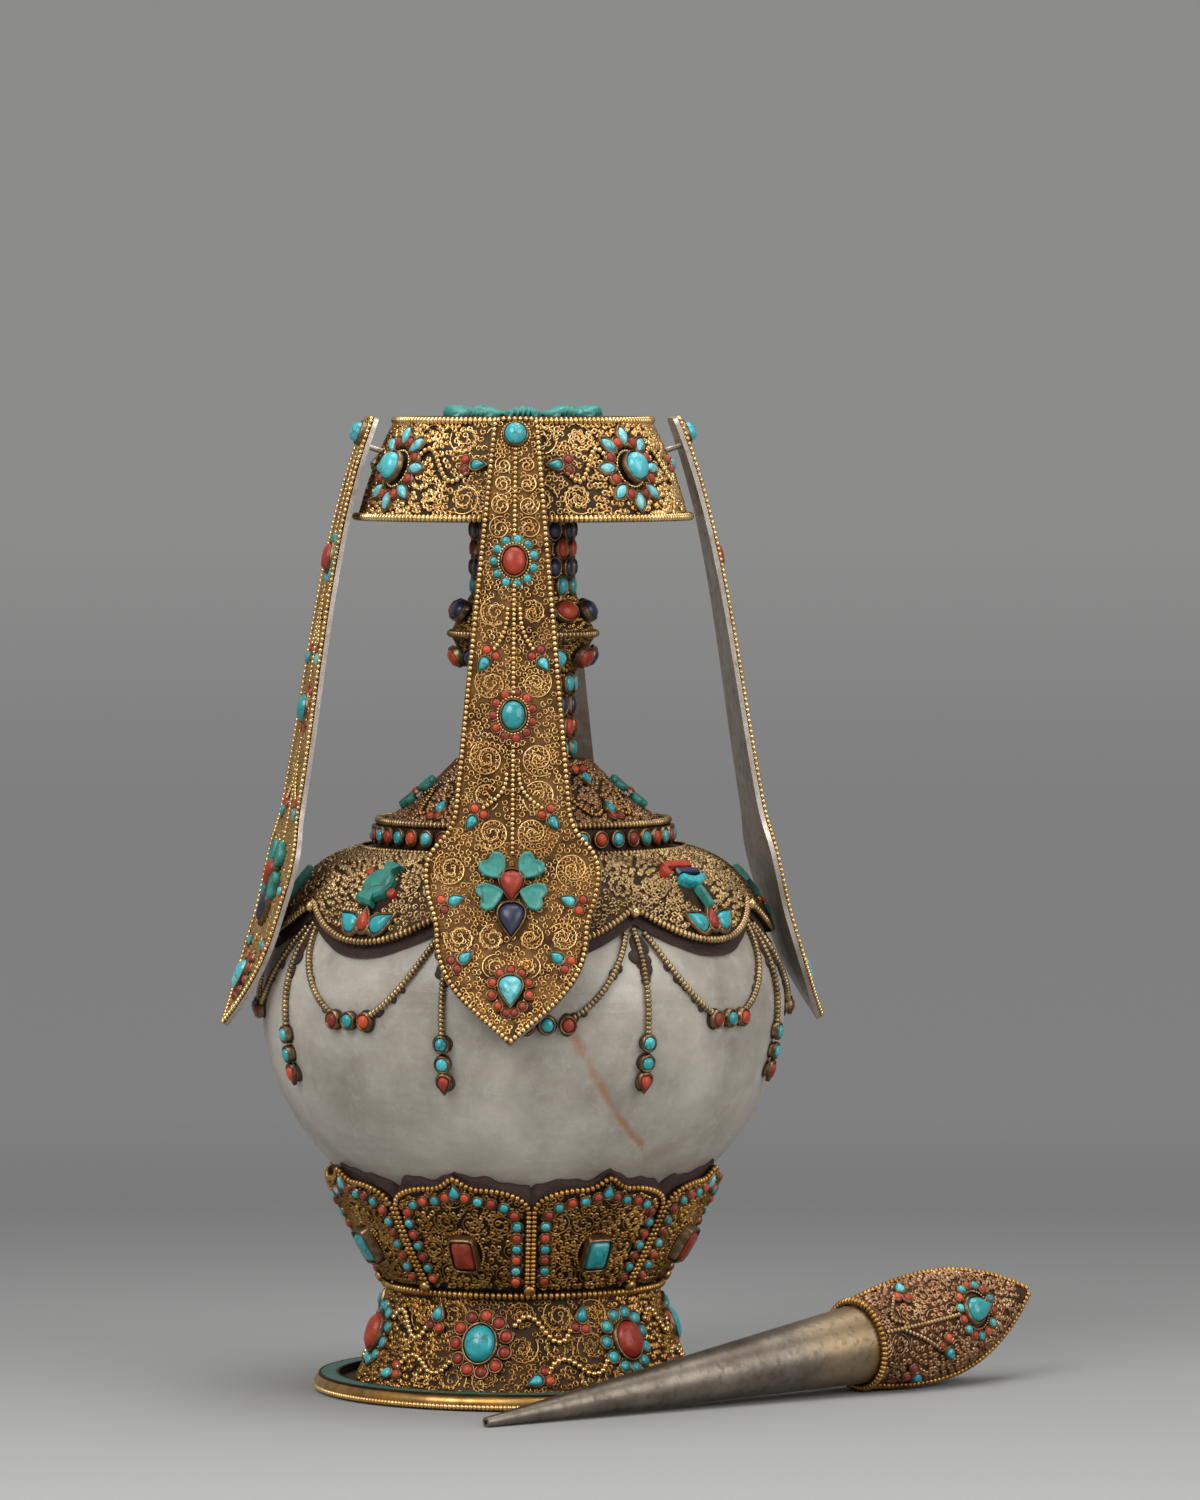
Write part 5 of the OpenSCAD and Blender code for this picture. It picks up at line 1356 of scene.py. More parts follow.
# signs in millimetres across and up, each with its own stone and height
signs = [
    [("carved", mirroredLine([(0.4, -4.6), (2.6, -4.4), (4.9, -1.6), (3.4, -0.9), (3.2, 2.4), (1.5, 0.9), (1.3, 4.2),
                              (0.2, 5.2)]), 2.0)],
    [("coral", [(-6.6, 3.6), (3.4, 3.2), (3.8, 5.2), (-6.2, 5.6)], 2.1),
     ("lapis", [(-3.4, 1.4), (5.0, 1.0), (5.2, 2.8), (-3.4, 3.2)], 1.9),
     ("turquoise", arcOutline([(0.4, 4.6, 7.4, 228, 312), (0.4, 6.8, 7.4, 305, 235)]), 2.4),
     ("carved", [(-0.6, -9.6), (1.0, -9.8), (1.3, -3.0), (-0.3, -3.0)], 1.9),
     ("coral", arcOutline([(-7.6, 2.6, 1.5, 0, 315)]), 1.8)],
    [("carved", arcOutline([(0, 0.4, 4.8, 0, 180), (-1.0, -0.2), (-0.9, -4.8), (0.9, -4.8), (1.0, -0.2)]), 2.0)],
    [("carved", arcOutline([(1.2, 0.0, 4.6, 120, 240), (4.2, 0.0, 5.0, 225, 135)]), 2.0),
     ("coral", arcOutline([(3.6, 0.0, 3.2, 120, 240), (5.4, 0.0, 3.8, 225, 135)]), 1.9)],
    [("carved", arcOutline([(0, 0, 4.4, 0, 315)]), 2.0)],
    [("turquoise", arcOutline([(0, 2.2, 2.4, -50, 230), (-2.8, -4.4), (2.8, -4.4)]), 2.0)],
    [("carved", mirroredLine([(2.4, -5.0), (2.6, 3.0), (1.4, 3.4), (1.2, 5.2), (0.2, 5.6)]), 2.0)],
    [("carved", mirroredLine([(3.1, -6.6), (2.8, -5.4), (1.7, -4.9), (4.0, -2.3), (4.7, 0.4), (3.7, 2.7), (1.6, 4.1),
                              (1.7, 5.6), (3.0, 6.8), (0.3, 7.2)]), 2.5),
     ("coral", arcOutline([(-6.0, 2.2, 1.3, 0, 315)]), 1.7), ("coral", arcOutline([(6.2, -1.1, 1.4, 0, 315)]), 1.7)],
]


def signRings(outline, height, spot):
    # a low carved slab on a surface: outline across and up, with a worn edge
    point, out, along = spot
    line = np.array(outline, float)
    turn = np.roll(line, -1, 0)
    if np.sum(line[:, 0] * turn[:, 1] - turn[:, 0] * line[:, 1]) < 0:
        line = line[::-1]
    middle = line.mean(0)
    across = np.cross(along, out)
    rings = []
    for k, z in ((1.0, -0.3), (1.0, 0.6 * height), (0.9, 0.93 * height), (0.72, height)):
        flat = middle + (line - middle) * k
        rings.append([tuple(point + x * across + y * along + z * out) for x, y in flat])
    return rings


def carvedSet(name, groups, finish, tone):
    points, faces = [], []
    for rings in groups:
        start, count = len(points), len(rings[0])
        last = start + (len(rings) - 1) * count
        points += [point for ring in rings for point in ring]
        for a in range(start, last, count):
            faces += ringFaces(a, a + count, count)
        faces += [tuple(range(last, last + count)), tuple(range(start + count - 1, start - 1, -1))]
    return linked(name, plainMesh(name, points, faces, [finish], False, tone))


def makeShoulder(size):
    gems, keepOut, balls = newGems(), [], []
    carvings = {"carved": [], "turquoise": [], "coral": [], "lapis": []}
    step = 360.0 / size.lobes
    ySign, yTrio = domeFace.lengthAt(size.signLevel), domeFace.lengthAt(size.trioLevel) + 0.6
    for i in range(size.lobes):
        az = size.first + i * step
        spot = domeFace.spot(az, ySign + size.higher.get(i, 0.0), 0.0, size.lean.get(i, 0.0))
        for key, outline, height in signs[i]:
            carvings[key].append(signRings(outline, height, spot))
        keepOut.append((az, ySign, 6.2))
        for side in (-1, 1):
            place = domeFace.beside(az, yTrio, side * size.leafOut, size.leafUp)
            spot = domeFace.spot(*place, 0.2, side * size.leafTurn)
            gems["turquoise"].add("drop", spot, size.leaf, 0.35)
            beside = domeFace.beside(az, yTrio, side * size.leafOut, 0)[0]
            keepOut.append((beside, yTrio + size.leafUp, 3.2))
        gems["coral"].add("drop", domeFace.spot(az, yTrio + 1.2, 0.25), size.drop)
        keepOut.append((az, yTrio, 3.6))
        cuspAt = domeFace.lengthAtHeight(size.cusp) - 0.6
        point, out, up = domeFace.spot(size.first + (i + 0.5) * step, cuspAt, 0.2)
        balls.append([*point, *out, *up, *size.ball])
    turns = np.linspace(0, 360, size.lobes * 150, endpoint=False)
    along = domeFace.lengthAtHeight(lobeEdge(turns, size)) + 1.0
    edge = domeFace.many(turns, along, 0.55)[0]
    ridden(beads("shoulder_ribbed_wire", [edge], (1.0, 1.3, 0.68), dullWire, True), "vase", "bright_gilt",
           ["shoulder_edge_wire"])
    ridden(scattered("cusp_balls", balls, pebble(), beadGold), "vase", "bright_gilt")

    def allowed(x, y):
        return domeFace.height(y) > lobeEdge(x, size) + size.bare

    rows, rims = weaveOver(domeFace, size, keepOut, (), allowed)
    ahead = rows[:, 1] < 0  # two pieces, to keep each one light
    for half, part, paths in (("front", rows[ahead], [rim for rim in rims if rim[0][1] < 0]),
                              ("back", rows[~ahead], [rim for rim in rims if rim[0][1] >= 0])):
        ridden(curlPiece("shoulder_filigree_" + half, part, paths, dullWire), "vase", "dark_gilt")
    setGems("shoulder", gems, "vase", {"coral": ["shoulder_coral_drops"]})
    for key, groups in carvings.items():
        finish, slot = gemFinishes[key]
        replaced = ["shoulder_turquoise_symbols"] if key == "carved" else []
        ridden(carvedSet("shoulder_signs_" + key, groups, finish, 0.45), "vase", slot, replaced)


makeShoulder(shoulder)
print("shoulder done")

# garland on the crystal: a pendant at each cusp, a swag between cusps, dabs of lac under the stones
garland = Specs(swag=100.0, swagTop=121.6, start=2.6, stop=5.9, strand=0.8, strandPoints=24, cup=0.9, step=4.4,
    swagStone=(3.6, 3.4, 1.9), pendantTop=122.6, pendantEnd=96.6, low=85.0, pendantStep=5.0,
    pendantStone=(3.5, 3.2, 1.9), pendantDrop=(4.4, 3.2, 1.9))
dabs = Specs(swagStone=5.4, pendantStone=5.2, cusp=10, cuspLow=110.5, cuspWide=2.6, cuspGrow=0.32, cuspSway=0.9,
    swag=14, swagReach=(0.25, 0.85), swagSway=0.6, swagDown=0.6, swagWide=(1.5, 2.8), long=(0.85, 1.15),
    wide=(0.8, 1.1), high=(0.7, 1.1))
lobeStep = 360.0 / shoulder.lobes
lobeTurns = [shoulder.first + i * lobeStep for i in range(shoulder.lobes)]


def swagHeight(s, size):
    # s: 0 in the middle of the lobe, 1 at the cusp
    return size.swag + (size.swagTop - size.swag) * s * s


def makeDabs(size, dab):
    hand, rows = random.Random(5), []
    reach = 0.5 * lobeStep - size.start
    for lobe in lobeTurns:
        cusp = lobe + 0.5 * lobeStep
        spots = [(lobe + k * size.step, size.swag, dab.swagStone) for k in (-1, 0, 1)]
        spots += [(cusp, size.low + size.pendantStep * k, dab.pendantStone) for k in (0, 1, 2)]
        spots += [(cusp + hand.uniform(-dab.cuspSway, dab.cuspSway), dab.cuspLow + k,
                   dab.cuspWide + dab.cuspGrow * k) for k in range(dab.cusp)]
        for k in range(dab.swag):
            s = hand.uniform(*dab.swagReach) * (1 if k % 2 else -1)
            spots.append((lobe + s * reach + hand.uniform(-dab.swagSway, dab.swagSway),
                          swagHeight(s, size) - dab.swagDown, hand.uniform(*dab.swagWide)))
        for az, z, wide in spots:
            point, out, up = onBelly(az, z, -0.15)
            rows.append([*point, *out, *up, wide * hand.uniform(*dab.long), wide * hand.uniform(*dab.wide),
                         hand.uniform(*dab.high)])
    ridden(scattered("garland_paste", rows, pebble(), lac), "vase", "lac")


def makeGarland(size):
    gems, strands = newGems(), []
    last = size.strandPoints - 1
    for lobe in lobeTurns:
        cusp = lobe + 0.5 * lobeStep
        for side in (-1, 1):
            path = []
            for k in range(size.strandPoints):
                turn = size.start + (0.5 * lobeStep - size.stop - size.start) * k / last
                s = (0.5 * lobeStep - turn) / (0.5 * lobeStep - size.start)
                path.append(onBelly(cusp + side * turn, swagHeight(s, size), size.strand)[0])
            strands.append(path)
        fall = size.pendantEnd - size.pendantTop
        strands.append([onBelly(cusp, size.pendantTop + fall * k / last, size.strand)[0]
                        for k in range(size.strandPoints)])
        for k, key in ((-1, "coral"), (0, "turquoise"), (1, "coral")):
            spot = onBelly(lobe + k * size.step, size.swag, size.cup)
            gems[key].add("round", spot, size.swagStone)
        for k, key in ((0, "coral"), (1, "turquoise"), (2, "turquoise")):
            point, out, up = onBelly(cusp, size.low + size.pendantStep * k, size.cup)
            kind, stone = ("round", size.pendantStone) if k else ("drop", size.pendantDrop)
            gems[key].add(kind, (point, out, -up), stone)
    makeDabs(size, dabs)
    ridden(beads("garland_ridged_strands", strands, (0.92, 1.12, 0.78), strandBrass), "vase", "bright_gilt",
           ["garland_strands"])
    setGems("garland", gems, "vase", {"turquoise": ["garland_turquoise_stones"], "coral": ["garland_coral_stones"]})


makeGarland(garland)
print("garland done")

# tier: a band of stones, and a bell with flowers, clusters and wave lines
tier = Specs(stones=46, bandRadius=38.4, bandHeight=144.95, bandStone=(3.5, 3.3, 1.7), flowers=4, first=272.0,
    level=0.5, petal=(5.6, 5.0, 2.0), petalAt=(3.2, 3.0), heart=(3.0, 3.0, 1.8), clusterTurn=45.0,
    clusters=[(-4.0, 90.0), (6.5, 270.0)], waveTurn=(15.0, 39.0), waveUp=(1.0, -5.0), waveSway=3.0, pitch=1.6,
    roundel=3.9, roundelEdges=(1.4, 0.6), curlEdges=(1.2, 0.4))


def makeTier(size):
    gems, keepOut, lines, lined = newGems(), [], [], []
    up = np.array([0, 0, 1.0])
    for i in range(size.stones):
        az = math.radians(front + i * 360.0 / size.stones)
        out = np.array([math.cos(az), math.sin(az), 0.0])
        point = size.bandRadius * out + size.bandHeight * up
        gems["coral" if i % 2 == 0 else "turquoise"].add("round", (point, out, up), size.bandStone)
    y = bellFace.lengthAt(size.level)
    for i in range(size.flowers):
        az = size.first + i * 360.0 / size.flowers
        for dx, dy in ((1, 1), (-1, 1), (1, -1), (-1, -1)):
            place = bellFace.beside(az, y, size.petalAt[0] * dx, size.petalAt[1] * dy)
            spot = bellFace.spot(*place, 0.3, math.degrees(math.atan2(dx, dy)))
            gems["carved"].add("heart", spot, size.petal)
        gems["coral"].add("round", bellFace.spot(az, y, 0.9), size.heart)
        keepOut.append((az, y, 5.4))
        for rise, heading in size.clusters:
            cluster(gems, keepOut, bellFace, az + size.clusterTurn, y + rise, heading)
        for side in (1, -1):
            ends = [(az + side * turn, y + rise) for turn, rise in zip(size.waveTurn, size.waveUp)]
            lines.append(wavePath(bellFace, *ends, size.waveSway, 0.5, lined))
    rows, rims = weaveOver(bellFace, size, keepOut, lined)
    ridden(curlPiece("bell_filigree", rows, rims, budWire), "vase", "dark_gilt")
    ridden(beads("bell_bead_lines", lines, (0.6, 1.1, 0.92), brownWire), "vase", "bright_gilt")
    setGems("tier", gems, "vase", {"coral": ["tier_coral_stones"], "turquoise": ["tier_turquoise_stones"]})


makeTier(tier)
print("tier done")

# neck: sleeves set with columns of stones, knop with two rows of ovals, ropes and bead rings
neck = Specs(columns=14, sleeveRadius=12.2, stone=(4.5, 3.7, 1.9),
    sleeves=[(164.4, 22.6, ["turquoise", "coral", "lapis", "turquoise"]),
    (207.0, 19.4, ["turquoise", "lapis", "coral", "lapis"])], sleeveEdges=(0.6, 0.4), ringIn=0.7, ringOut=0.5,
    knop=[(Turned((13.4, 187.4), (15.9, 192.0), (18.2, 196.4)), 298.0, ["turquoise", "coral", "lapis"]),
    (Turned((18.2, 197.6), (15.9, 202.2), (13.4, 206.6)), front + 4.0, ["lapis", "coral"])], ovals=10,
    oval=(6.6, 5.2, 2.8), knopEdge=0.3, pitch=1.15, ropes=[(37.7, 148.5), (18.9, 197.0)])


def makeNeck(size):
    gems, rows, rings = newGems(), [], []
    radius = size.sleeveRadius
    for z, h, kinds in size.sleeves:
        face = Turned((radius, z), (radius, z + h / 2), (radius, z + h))
        keepOut = []
        for row, key in enumerate(kinds):
            for i in range(size.columns):
                az = front + (i + (row % 2) / 2) * 360.0 / size.columns
                y = h * (row + 0.5) / len(kinds)
                gems[key].add("round", face.spot(az, y, 0.2), size.stone)
                keepOut.append((az, y, 2.3))
        low, high = size.sleeveEdges
        rows.append(filigree(face, [], low, h - high, size.pitch, everywhere, keepOut)[0])
        rings += [hoop(radius + size.ringOut, z + edge) for edge in (size.ringIn, h - size.ringIn)]
    for face, first, kinds in size.knop:
        keepOut = []
        for i in range(size.ovals):
            az = first + i * 360.0 / size.ovals
            spot = face.spot(az, face.length / 2, 1.3, 90)
            gems[kinds[i % len(kinds)]].add("round", spot, size.oval, big=True)
            keepOut.append((az, face.length / 2, 3.0))
        rows.append(filigree(face, [], size.knopEdge, face.length, size.pitch, everywhere, keepOut)[0])
    ridden(curlPiece("neck_filigree", np.concatenate(rows), [], brownWire), "vase", "dark_gilt")
    ridden(beads("neck_bead_rings", rings, (0.6, 1.1, 0.92), brownWire, True), "vase", "bright_gilt")
    settings = setGems("neck", gems, "vase", {"turquoise": ["neck_turquoise_stones"], "coral": ["neck_coral_stones"],
                                              "lapis": ["neck_lapis_stones"]})
    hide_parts("upper_bezels")
    ropes = beads("tier_ribbed_wires", [hoop(*rope) for rope in size.ropes], (1.02, 1.3, 0.68), dullWire, True)
    ridden(ropes, "vase", "bright_gilt", ["neck_ring_wires"])
    point = domeFace.spot(0, domeFace.lengthAt(0.9), 0.5)[0]
    ring = beads("tier_bead_ring", [hoop(point[0], point[2])], (0.6, 1.25, 0.92), dullWire, True)
    ridden(ring, "vase", "bright_gilt")


makeNeck(neck)
print("neck done")

# crown: band with four rosettes, clusters and wave lines, ropes at its edges, carved leaves round the mouth
crown = Specs(turns=[316.0, 44.0, 136.0, 214.0], level=0.5, oval=(7.4, 6.6, 3.6), wire=(4.5, 4.9, 0.5), ring=8,
    lift=0.3, coralAt=(6.9, 7.5), coral=(2.7, 2.7, 1.7), petalAt=(8.0, 8.9), petal=(5.0, 2.9, 1.8),
    clusterTurn=14.5, clusterUp=1.0, waveFrom=(5.0, -1.0), waveTo=(11.0, 3.0), waveSway=-3.4, pitch=1.75,
    roundel=4.7, roundelEdges=(2.2, 2.2), curlEdges=(2.2, 2.2), ropes=[(43.45, 227.4), (33.3, 252.3)])
mouth = Specs(leaves=10, inner=12.4, outer=20.2, deck=253.4, rise=2.4, wide=17.4, ribs=5)


def turnTo(start, stop):
    return (stop - start + 180) % 360 - 180


def makeCrown(size):
    gems, keepOut, rings, waves, lined = newGems(), [], [], [], []
    y = crownFace.lengthAt(size.level)
    for az in size.turns:
        spot = crownFace.spot(az, y, 1.6)
        gems["turquoise"].add("round", spot, size.oval, 0.8, big=True)
        rings.append(ringPath(crownFace, az, y, size.wire))
        for k in range(size.ring):
            a = 2 * math.pi * (k + 0.5) / size.ring
            place = crownFace.beside(az, y, size.coralAt[0] * math.cos(a), size.coralAt[1] * math.sin(a))
            gems["coral"].add("round", crownFace.spot(*place, size.lift), size.coral)
            a -= math.pi / size.ring
            place = crownFace.beside(az, y, size.petalAt[0] * math.cos(a), size.petalAt[1] * math.sin(a))
            spot = crownFace.spot(*place, size.lift, 90 - math.degrees(a))
            gems["turquoise"].add("marquise", spot, size.petal, 0.98)
            keepOut.append((*place, 1.7))
        keepOut.append((az, y, 7.4))
    for az in lappetSizes.turns.values():
        for side in (-1, 1):
            end = az + size.clusterTurn * side
            cluster(gems, keepOut, crownFace, end, y + size.clusterUp, 90 + 90 * side)
            near = min(size.turns, key=lambda turn: abs(turnTo(az + side * 45, turn)))
            begin = (end + side * size.waveFrom[0], y + size.waveFrom[1])
            stop = (end + turnTo(end, near) - side * size.waveTo[0], y + size.waveTo[1])
            waves.append(wavePath(crownFace, begin, stop, size.waveSway, 0.7, lined))
    rows, rims = weaveOver(crownFace, size, keepOut, lined)
    ridden(curlPiece("crown_filigree", rows, rims, brightWire), "vase", "bright_gilt")
    made = [beads("crown_bead_lines", rings, (0.45, 0.9, 0.92), beadGold, True),
            beads("waves", waves, (0.75, 1.3, 0.92), beadGold)]
    ridden(joined("crown_bead_lines", made), "vase", "bright_gilt")
    setGems("crown", gems, "vase", {"turquoise": ["crown_turquoise_stones"]})
    ropes = beads("crown_ribbed_wires", [hoop(*rope) for rope in size.ropes], (1.05, 1.32, 0.66), beadGold, True)
    ridden(ropes, "vase", "bright_gilt", ["crown_wires"])
    makeMouth(mouth)


def makeMouth(size):
    # carved leaves that rise from the deck and roll over at the lip
    points, faces = [], []
    across, along = 11, 9
    for i in range(size.leaves):
        start = len(points)
        az = front + i * 360.0 / size.leaves
        for layer in (0, 1):
            for j in range(along):
                u = j / (along - 1)
                r = size.inner + (size.outer - size.inner) * u
                wide = size.wide * math.sin(math.radians(52 + 90 * u)) ** 0.6 * (1 - 0.25 * u ** 4)
                for k in range(across):
                    v = 2.0 * k / (across - 1) - 1.0
                    rib = math.cos(size.ribs * math.pi * v)
                    rise = size.rise * math.sin(math.radians(18 + 100 * u)) * (1 - 0.55 * v * v)
                    carve = 0.45 * rib * (1 - abs(v)) * min(1.0, 3 * u)
                    reach = r + 0.8 * rib * u ** 5
                    turn = math.radians(az + wide * v)
                    z = size.deck + (rise + carve if layer else 0.0)
                    points.append((reach * math.cos(turn), reach * math.sin(turn), z))

        def at(layer, j, k):
            return start + layer * along * across + j * across + k

        for j in range(along - 1):
            for k in range(across - 1):
                faces.append((at(1, j, k), at(1, j + 1, k), at(1, j + 1, k + 1), at(1, j, k + 1)))
                faces.append((at(0, j, k), at(0, j, k + 1), at(0, j + 1, k + 1), at(0, j + 1, k)))
            for k, flip in ((0, False), (across - 1, True)):
                side = (at(0, j, k), at(0, j + 1, k), at(1, j + 1, k), at(1, j, k))
                faces.append(side[::-1] if flip else side)
        for k in range(across - 1):
            for j, flip in ((0, True), (along - 1, False)):
                side = (at(0, j, k), at(0, j, k + 1), at(1, j, k + 1), at(1, j, k))
                faces.append(side[::-1] if flip else side)
    mesh = plainMesh("mouth_leaves", points, faces, [carvedTurquoise], True, 0.85)
    ridden(linked("mouth_leaves", mesh), "vase", "turquoise", ["mouth_petals"])


makeCrown(crown)
print("crown done")

# lappets, made once facing +X and turned to their places; heights above the tip, lifts above the plate
lappet = Specs(pitch=1.58, curlEdges=(2.5, 1.5), bareSide=1.5, bareTip=3.0, bareTop=1.6, roundels=Specs(tip=4.0,
    top=4.0, side=2.6, column=9.0, most=4.6, least=1.6, tight=0.1, middle=0.7, gap=0.35, spare=0.3, edge=1.0),
    top=Specs(down=5.0, stone=(5.6, 5.6, 3.6), lift=0.6, tone=0.6, wire=(3.6, 3.6, 0.4), room=4.2),
    rosettes=[(121.1, ("coral", "turquoise")), (82.2, ("turquoise", "coral"))], oval=(7.4, 6.0, 3.0),
    ring=(11, 2.1, 2.3), ovalWire=(4.0, 4.7, 0.35), lines=[(150.6, 127.7), (115.0, 88.0), (74.4, 47.5)],
    lineStep=0.9, branches=[Specs(fork=109.0, end=99.0, out=4.9, drop=(7.8, 95.0)),
    Specs(fork=67.3, end=58.9, out=7.4, drop=(10.6, 55.0))], branchIn=1.6, branchBend=2.4, dropLean=35.0,
    flower=Specs(at=39.1, petals=((4.4, 4.8), (5.4, -2.5)), petal=(7.4, 7.4, 2.2), lift=0.35, tone=0.62, room=3.3,
    heart=(7.8, 6.4, 3.0), heartLift=0.9, heartTone=0.3, heartRoom=3.9),
    lapis=Specs(at=30.5, stone=(8.8, 6.9, 2.8), lift=0.5, room=4.2), low=[(14.1, 35.7, 160.0), (11.4, 21.5, 145.0)],
    pear=Specs(at=12.7, stone=(8.2, 6.2, 3.0), lift=0.5, ring=11, reach=(5.0, 5.9), narrow=0.28,
    coral=(2.2, 2.2, 1.4), coralLift=0.25, wire=(3.9, 4.9, 0.35), wireUp=0.2, room=6.7),
    border=Specs(tip=0.9, top=2.6, inset=0.7, corner=1.9, lift=0.55), stud=Specs(at=(41.72, 0.0, 245.9), lift=18.89,
    sides=12, pins=((0.4, -7.6, 0.75), (-6.6, -7.6, 1.7))))
plateLift = lappetSizes.thick / 2


def lappetRoundels(rule, keepOut):
    # pairs of roundels up the leaf, as large as its width allows
    found, y = [], rule.tip
    while y < lappetFace.length - rule.top:
        room = float(lappetFace.width(y)) - rule.side
        columns = max(1, round(room / rule.column))
        r = min(rule.most, room / columns / 2 - rule.tight)
        y += r
        for j in range(columns):
            x = rule.middle + (2 * j + 1) * room / columns / 2
            for side in (-1, 1):
                near = min(math.hypot(side * x - x0, y - y0) - reach for x0, y0, reach in keepOut)
                fits = x + r < float(lappetFace.width(y)) - rule.edge
                if r > rule.least and near > rule.spare * r and fits:
                    found.append((side * x, y, r))
        y += r + rule.gap
    return found


def lappetSheet(stud):
    # the plate, its edge and its stud; the back is a plain silvery sheet
    face = lappetFace
    ys = np.concatenate([np.linspace(0.3, 12, 16), np.linspace(13, 70, 46), np.linspace(73, face.length - 3, 26),
                         face.length - np.array([2.4, 1.8, 1.2, 0.6, 0.3, 0.0])])
    across = 13
    points, faces, back = [], [], []
    for lift in (plateLift, -plateLift):
        for y in ys:
            x = np.linspace(-1, 1, across) * max(0.4, float(face.width(y)))
            points.extend(face.many(x, np.full(across, y), lift)[0].tolist())
    layer = len(ys) * across
    for i in range(len(ys) - 1):
        for k in range(across - 1):
            a, b = i * across + k, (i + 1) * across + k
            faces.append((a, a + 1, b + 1, b))
            faces.append((layer + a, layer + b, layer + b + 1, layer + a + 1))
            back += [0, 1]
        for k, flip in ((0, True), (across - 1, False)):
            a, b = i * across + k, (i + 1) * across + k
            side = (a, layer + a, layer + b, b)
            faces.append(side[::-1] if flip else side)
            back.append(1)
    for i, flip in ((0, False), (len(ys) - 1, True)):
        for k in range(across - 1):
            a = i * across + k
            side = (a, layer + a, layer + a + 1, a + 1)
            faces.append(side[::-1] if flip else side)
            back.append(1)
    lean, n = math.radians(stud.lift), stud.sides
    axis = np.array([math.cos(lean), 0.0, math.sin(lean)])
    up, aside = np.array([-axis[2], 0.0, axis[0]]), np.array([0.0, 1.0, 0.0])
    for near, far, radius in stud.pins:
        start = len(points)
        for reach in (far, near):
            for k in range(n):
                a = 2 * math.pi * k / n
                points.append(np.array(stud.at) + reach * axis + radius * (math.cos(a) * aside + math.sin(a) * up))
        faces += ringFaces(start, start + n, n)
        faces += [tuple(range(start + n - 1, start - 1, -1)), tuple(range(start + n, start + 2 * n))]
        back += [1] * (n + 2)
    # the front is a sheet painted dark as the shade between the wires, the back is silver
    mesh = plainMesh("lappetSheet", points, faces, [brightSheet, silverBack])
    mesh.polygons.foreach_set("material_index", back)
    mesh.set_sharp_from_angle(angle=math.radians(40))
    return mesh


def lappetStones(size, gems, keepOut):
    # the stone at the top and the two rosettes, with the bead wires round them
    face, at = lappetFace, lappetFace.lengthAt
    rings = []
    top = size.top
    y = face.length - top.down
    gems["turquoise"].add("round", face.spot(0, y, plateLift + top.lift), top.stone, top.tone, big=True)
    rings.append(ringPath(face, 0, y, top.wire, plateLift))
    keepOut.append((0, y, top.room))
    for h, kinds in size.rosettes:
        bigRosette(gems, face, 0.0, at(h), size.oval, kinds, size.ring)
        rings.append(ringPath(face, 0, at(h), size.ovalWire, plateLift))
        keepOut.append((0, at(h), 6.6))
    return rings


def lappetLines(size, gems, keepOut, lined):
    # bead lines down the middle, which fork towards a cluster on each side
    face, at = lappetFace, lappetFace.lengthAt
    lines = []
    for high, low in size.lines:
        lines.append(surfacePath(face, [(0, at(high)), (0, at(low))], plateLift + 0.5, []))
        lined += [(0.0, float(y), lineRoom) for y in np.arange(at(low), at(high), size.lineStep)]
    for branch in size.branches:
        for side in (-1, 1):
            t = np.linspace(0, 1, 24)
            x = side * (size.branchIn + (branch.out - size.branchIn) * t ** size.branchBend)
            y = at(branch.fork) + (at(branch.end) - at(branch.fork)) * t
            lines.append(face.many(x, y, plateLift + 0.55)[0])
            lined += [(float(a), float(b), 1.0) for a, b in zip(x, y)]
            out, h = branch.drop
            cluster(gems, keepOut, face, side * out, at(h), 270 + side * size.dropLean)
    return lines


def lappetFlower(size, gems, keepOut):
    # four leaves round a coral, the lapis under it, the low clusters, and the pear in its ring near the tip
    face, at = lappetFace, lappetFace.lengthAt
    flower, lapisDrop, pear = size.flower, size.lapis, size.pear
    middle = at(flower.at)
    for dx, dy in flower.petals:
        for side in (-1, 1):
            lean = math.degrees(math.atan2(side * dx, dy + 0.8))
            spot = face.spot(side * dx, middle + dy, plateLift + flower.lift, lean)
            gems["carved"].add("heart", spot, flower.petal, flower.tone)
            keepOut.append((side * dx, middle + dy, flower.room))
    spot = face.spot(0, middle, plateLift + flower.heartLift, 180)
    gems["coral"].add("drop", spot, flower.heart, flower.heartTone, big=True)
    spot = face.spot(0, at(lapisDrop.at), plateLift + lapisDrop.lift, 180)
    gems["lapis"].add("drop", spot, lapisDrop.stone, big=True)
    keepOut += [(0, middle, flower.heartRoom), (0, at(lapisDrop.at), lapisDrop.room)]
    for reach, h, heading in size.low:
        for side in (-1, 1):
            cluster(gems, keepOut, face, side * reach, at(h), heading if side > 0 else 180 - heading)
    y = at(pear.at)
    gems["turquoise"].add("drop", face.spot(0, y, plateLift + pear.lift, 180), pear.stone, big=True)
    for k in range(pear.ring):
        a = 2 * math.pi * k / pear.ring + math.pi / 2
        narrow = 1.0 - pear.narrow * max(0.0, -math.sin(a))
        across, along = pear.reach
        spot = face.spot(across * narrow * math.cos(a), y + along * math.sin(a), plateLift + pear.coralLift)
        gems["coral"].add("round", spot, pear.coral)
    keepOut.append((0, y, pear.room))
    return ringPath(face, 0, y + pear.wireUp, pear.wire, plateLift)


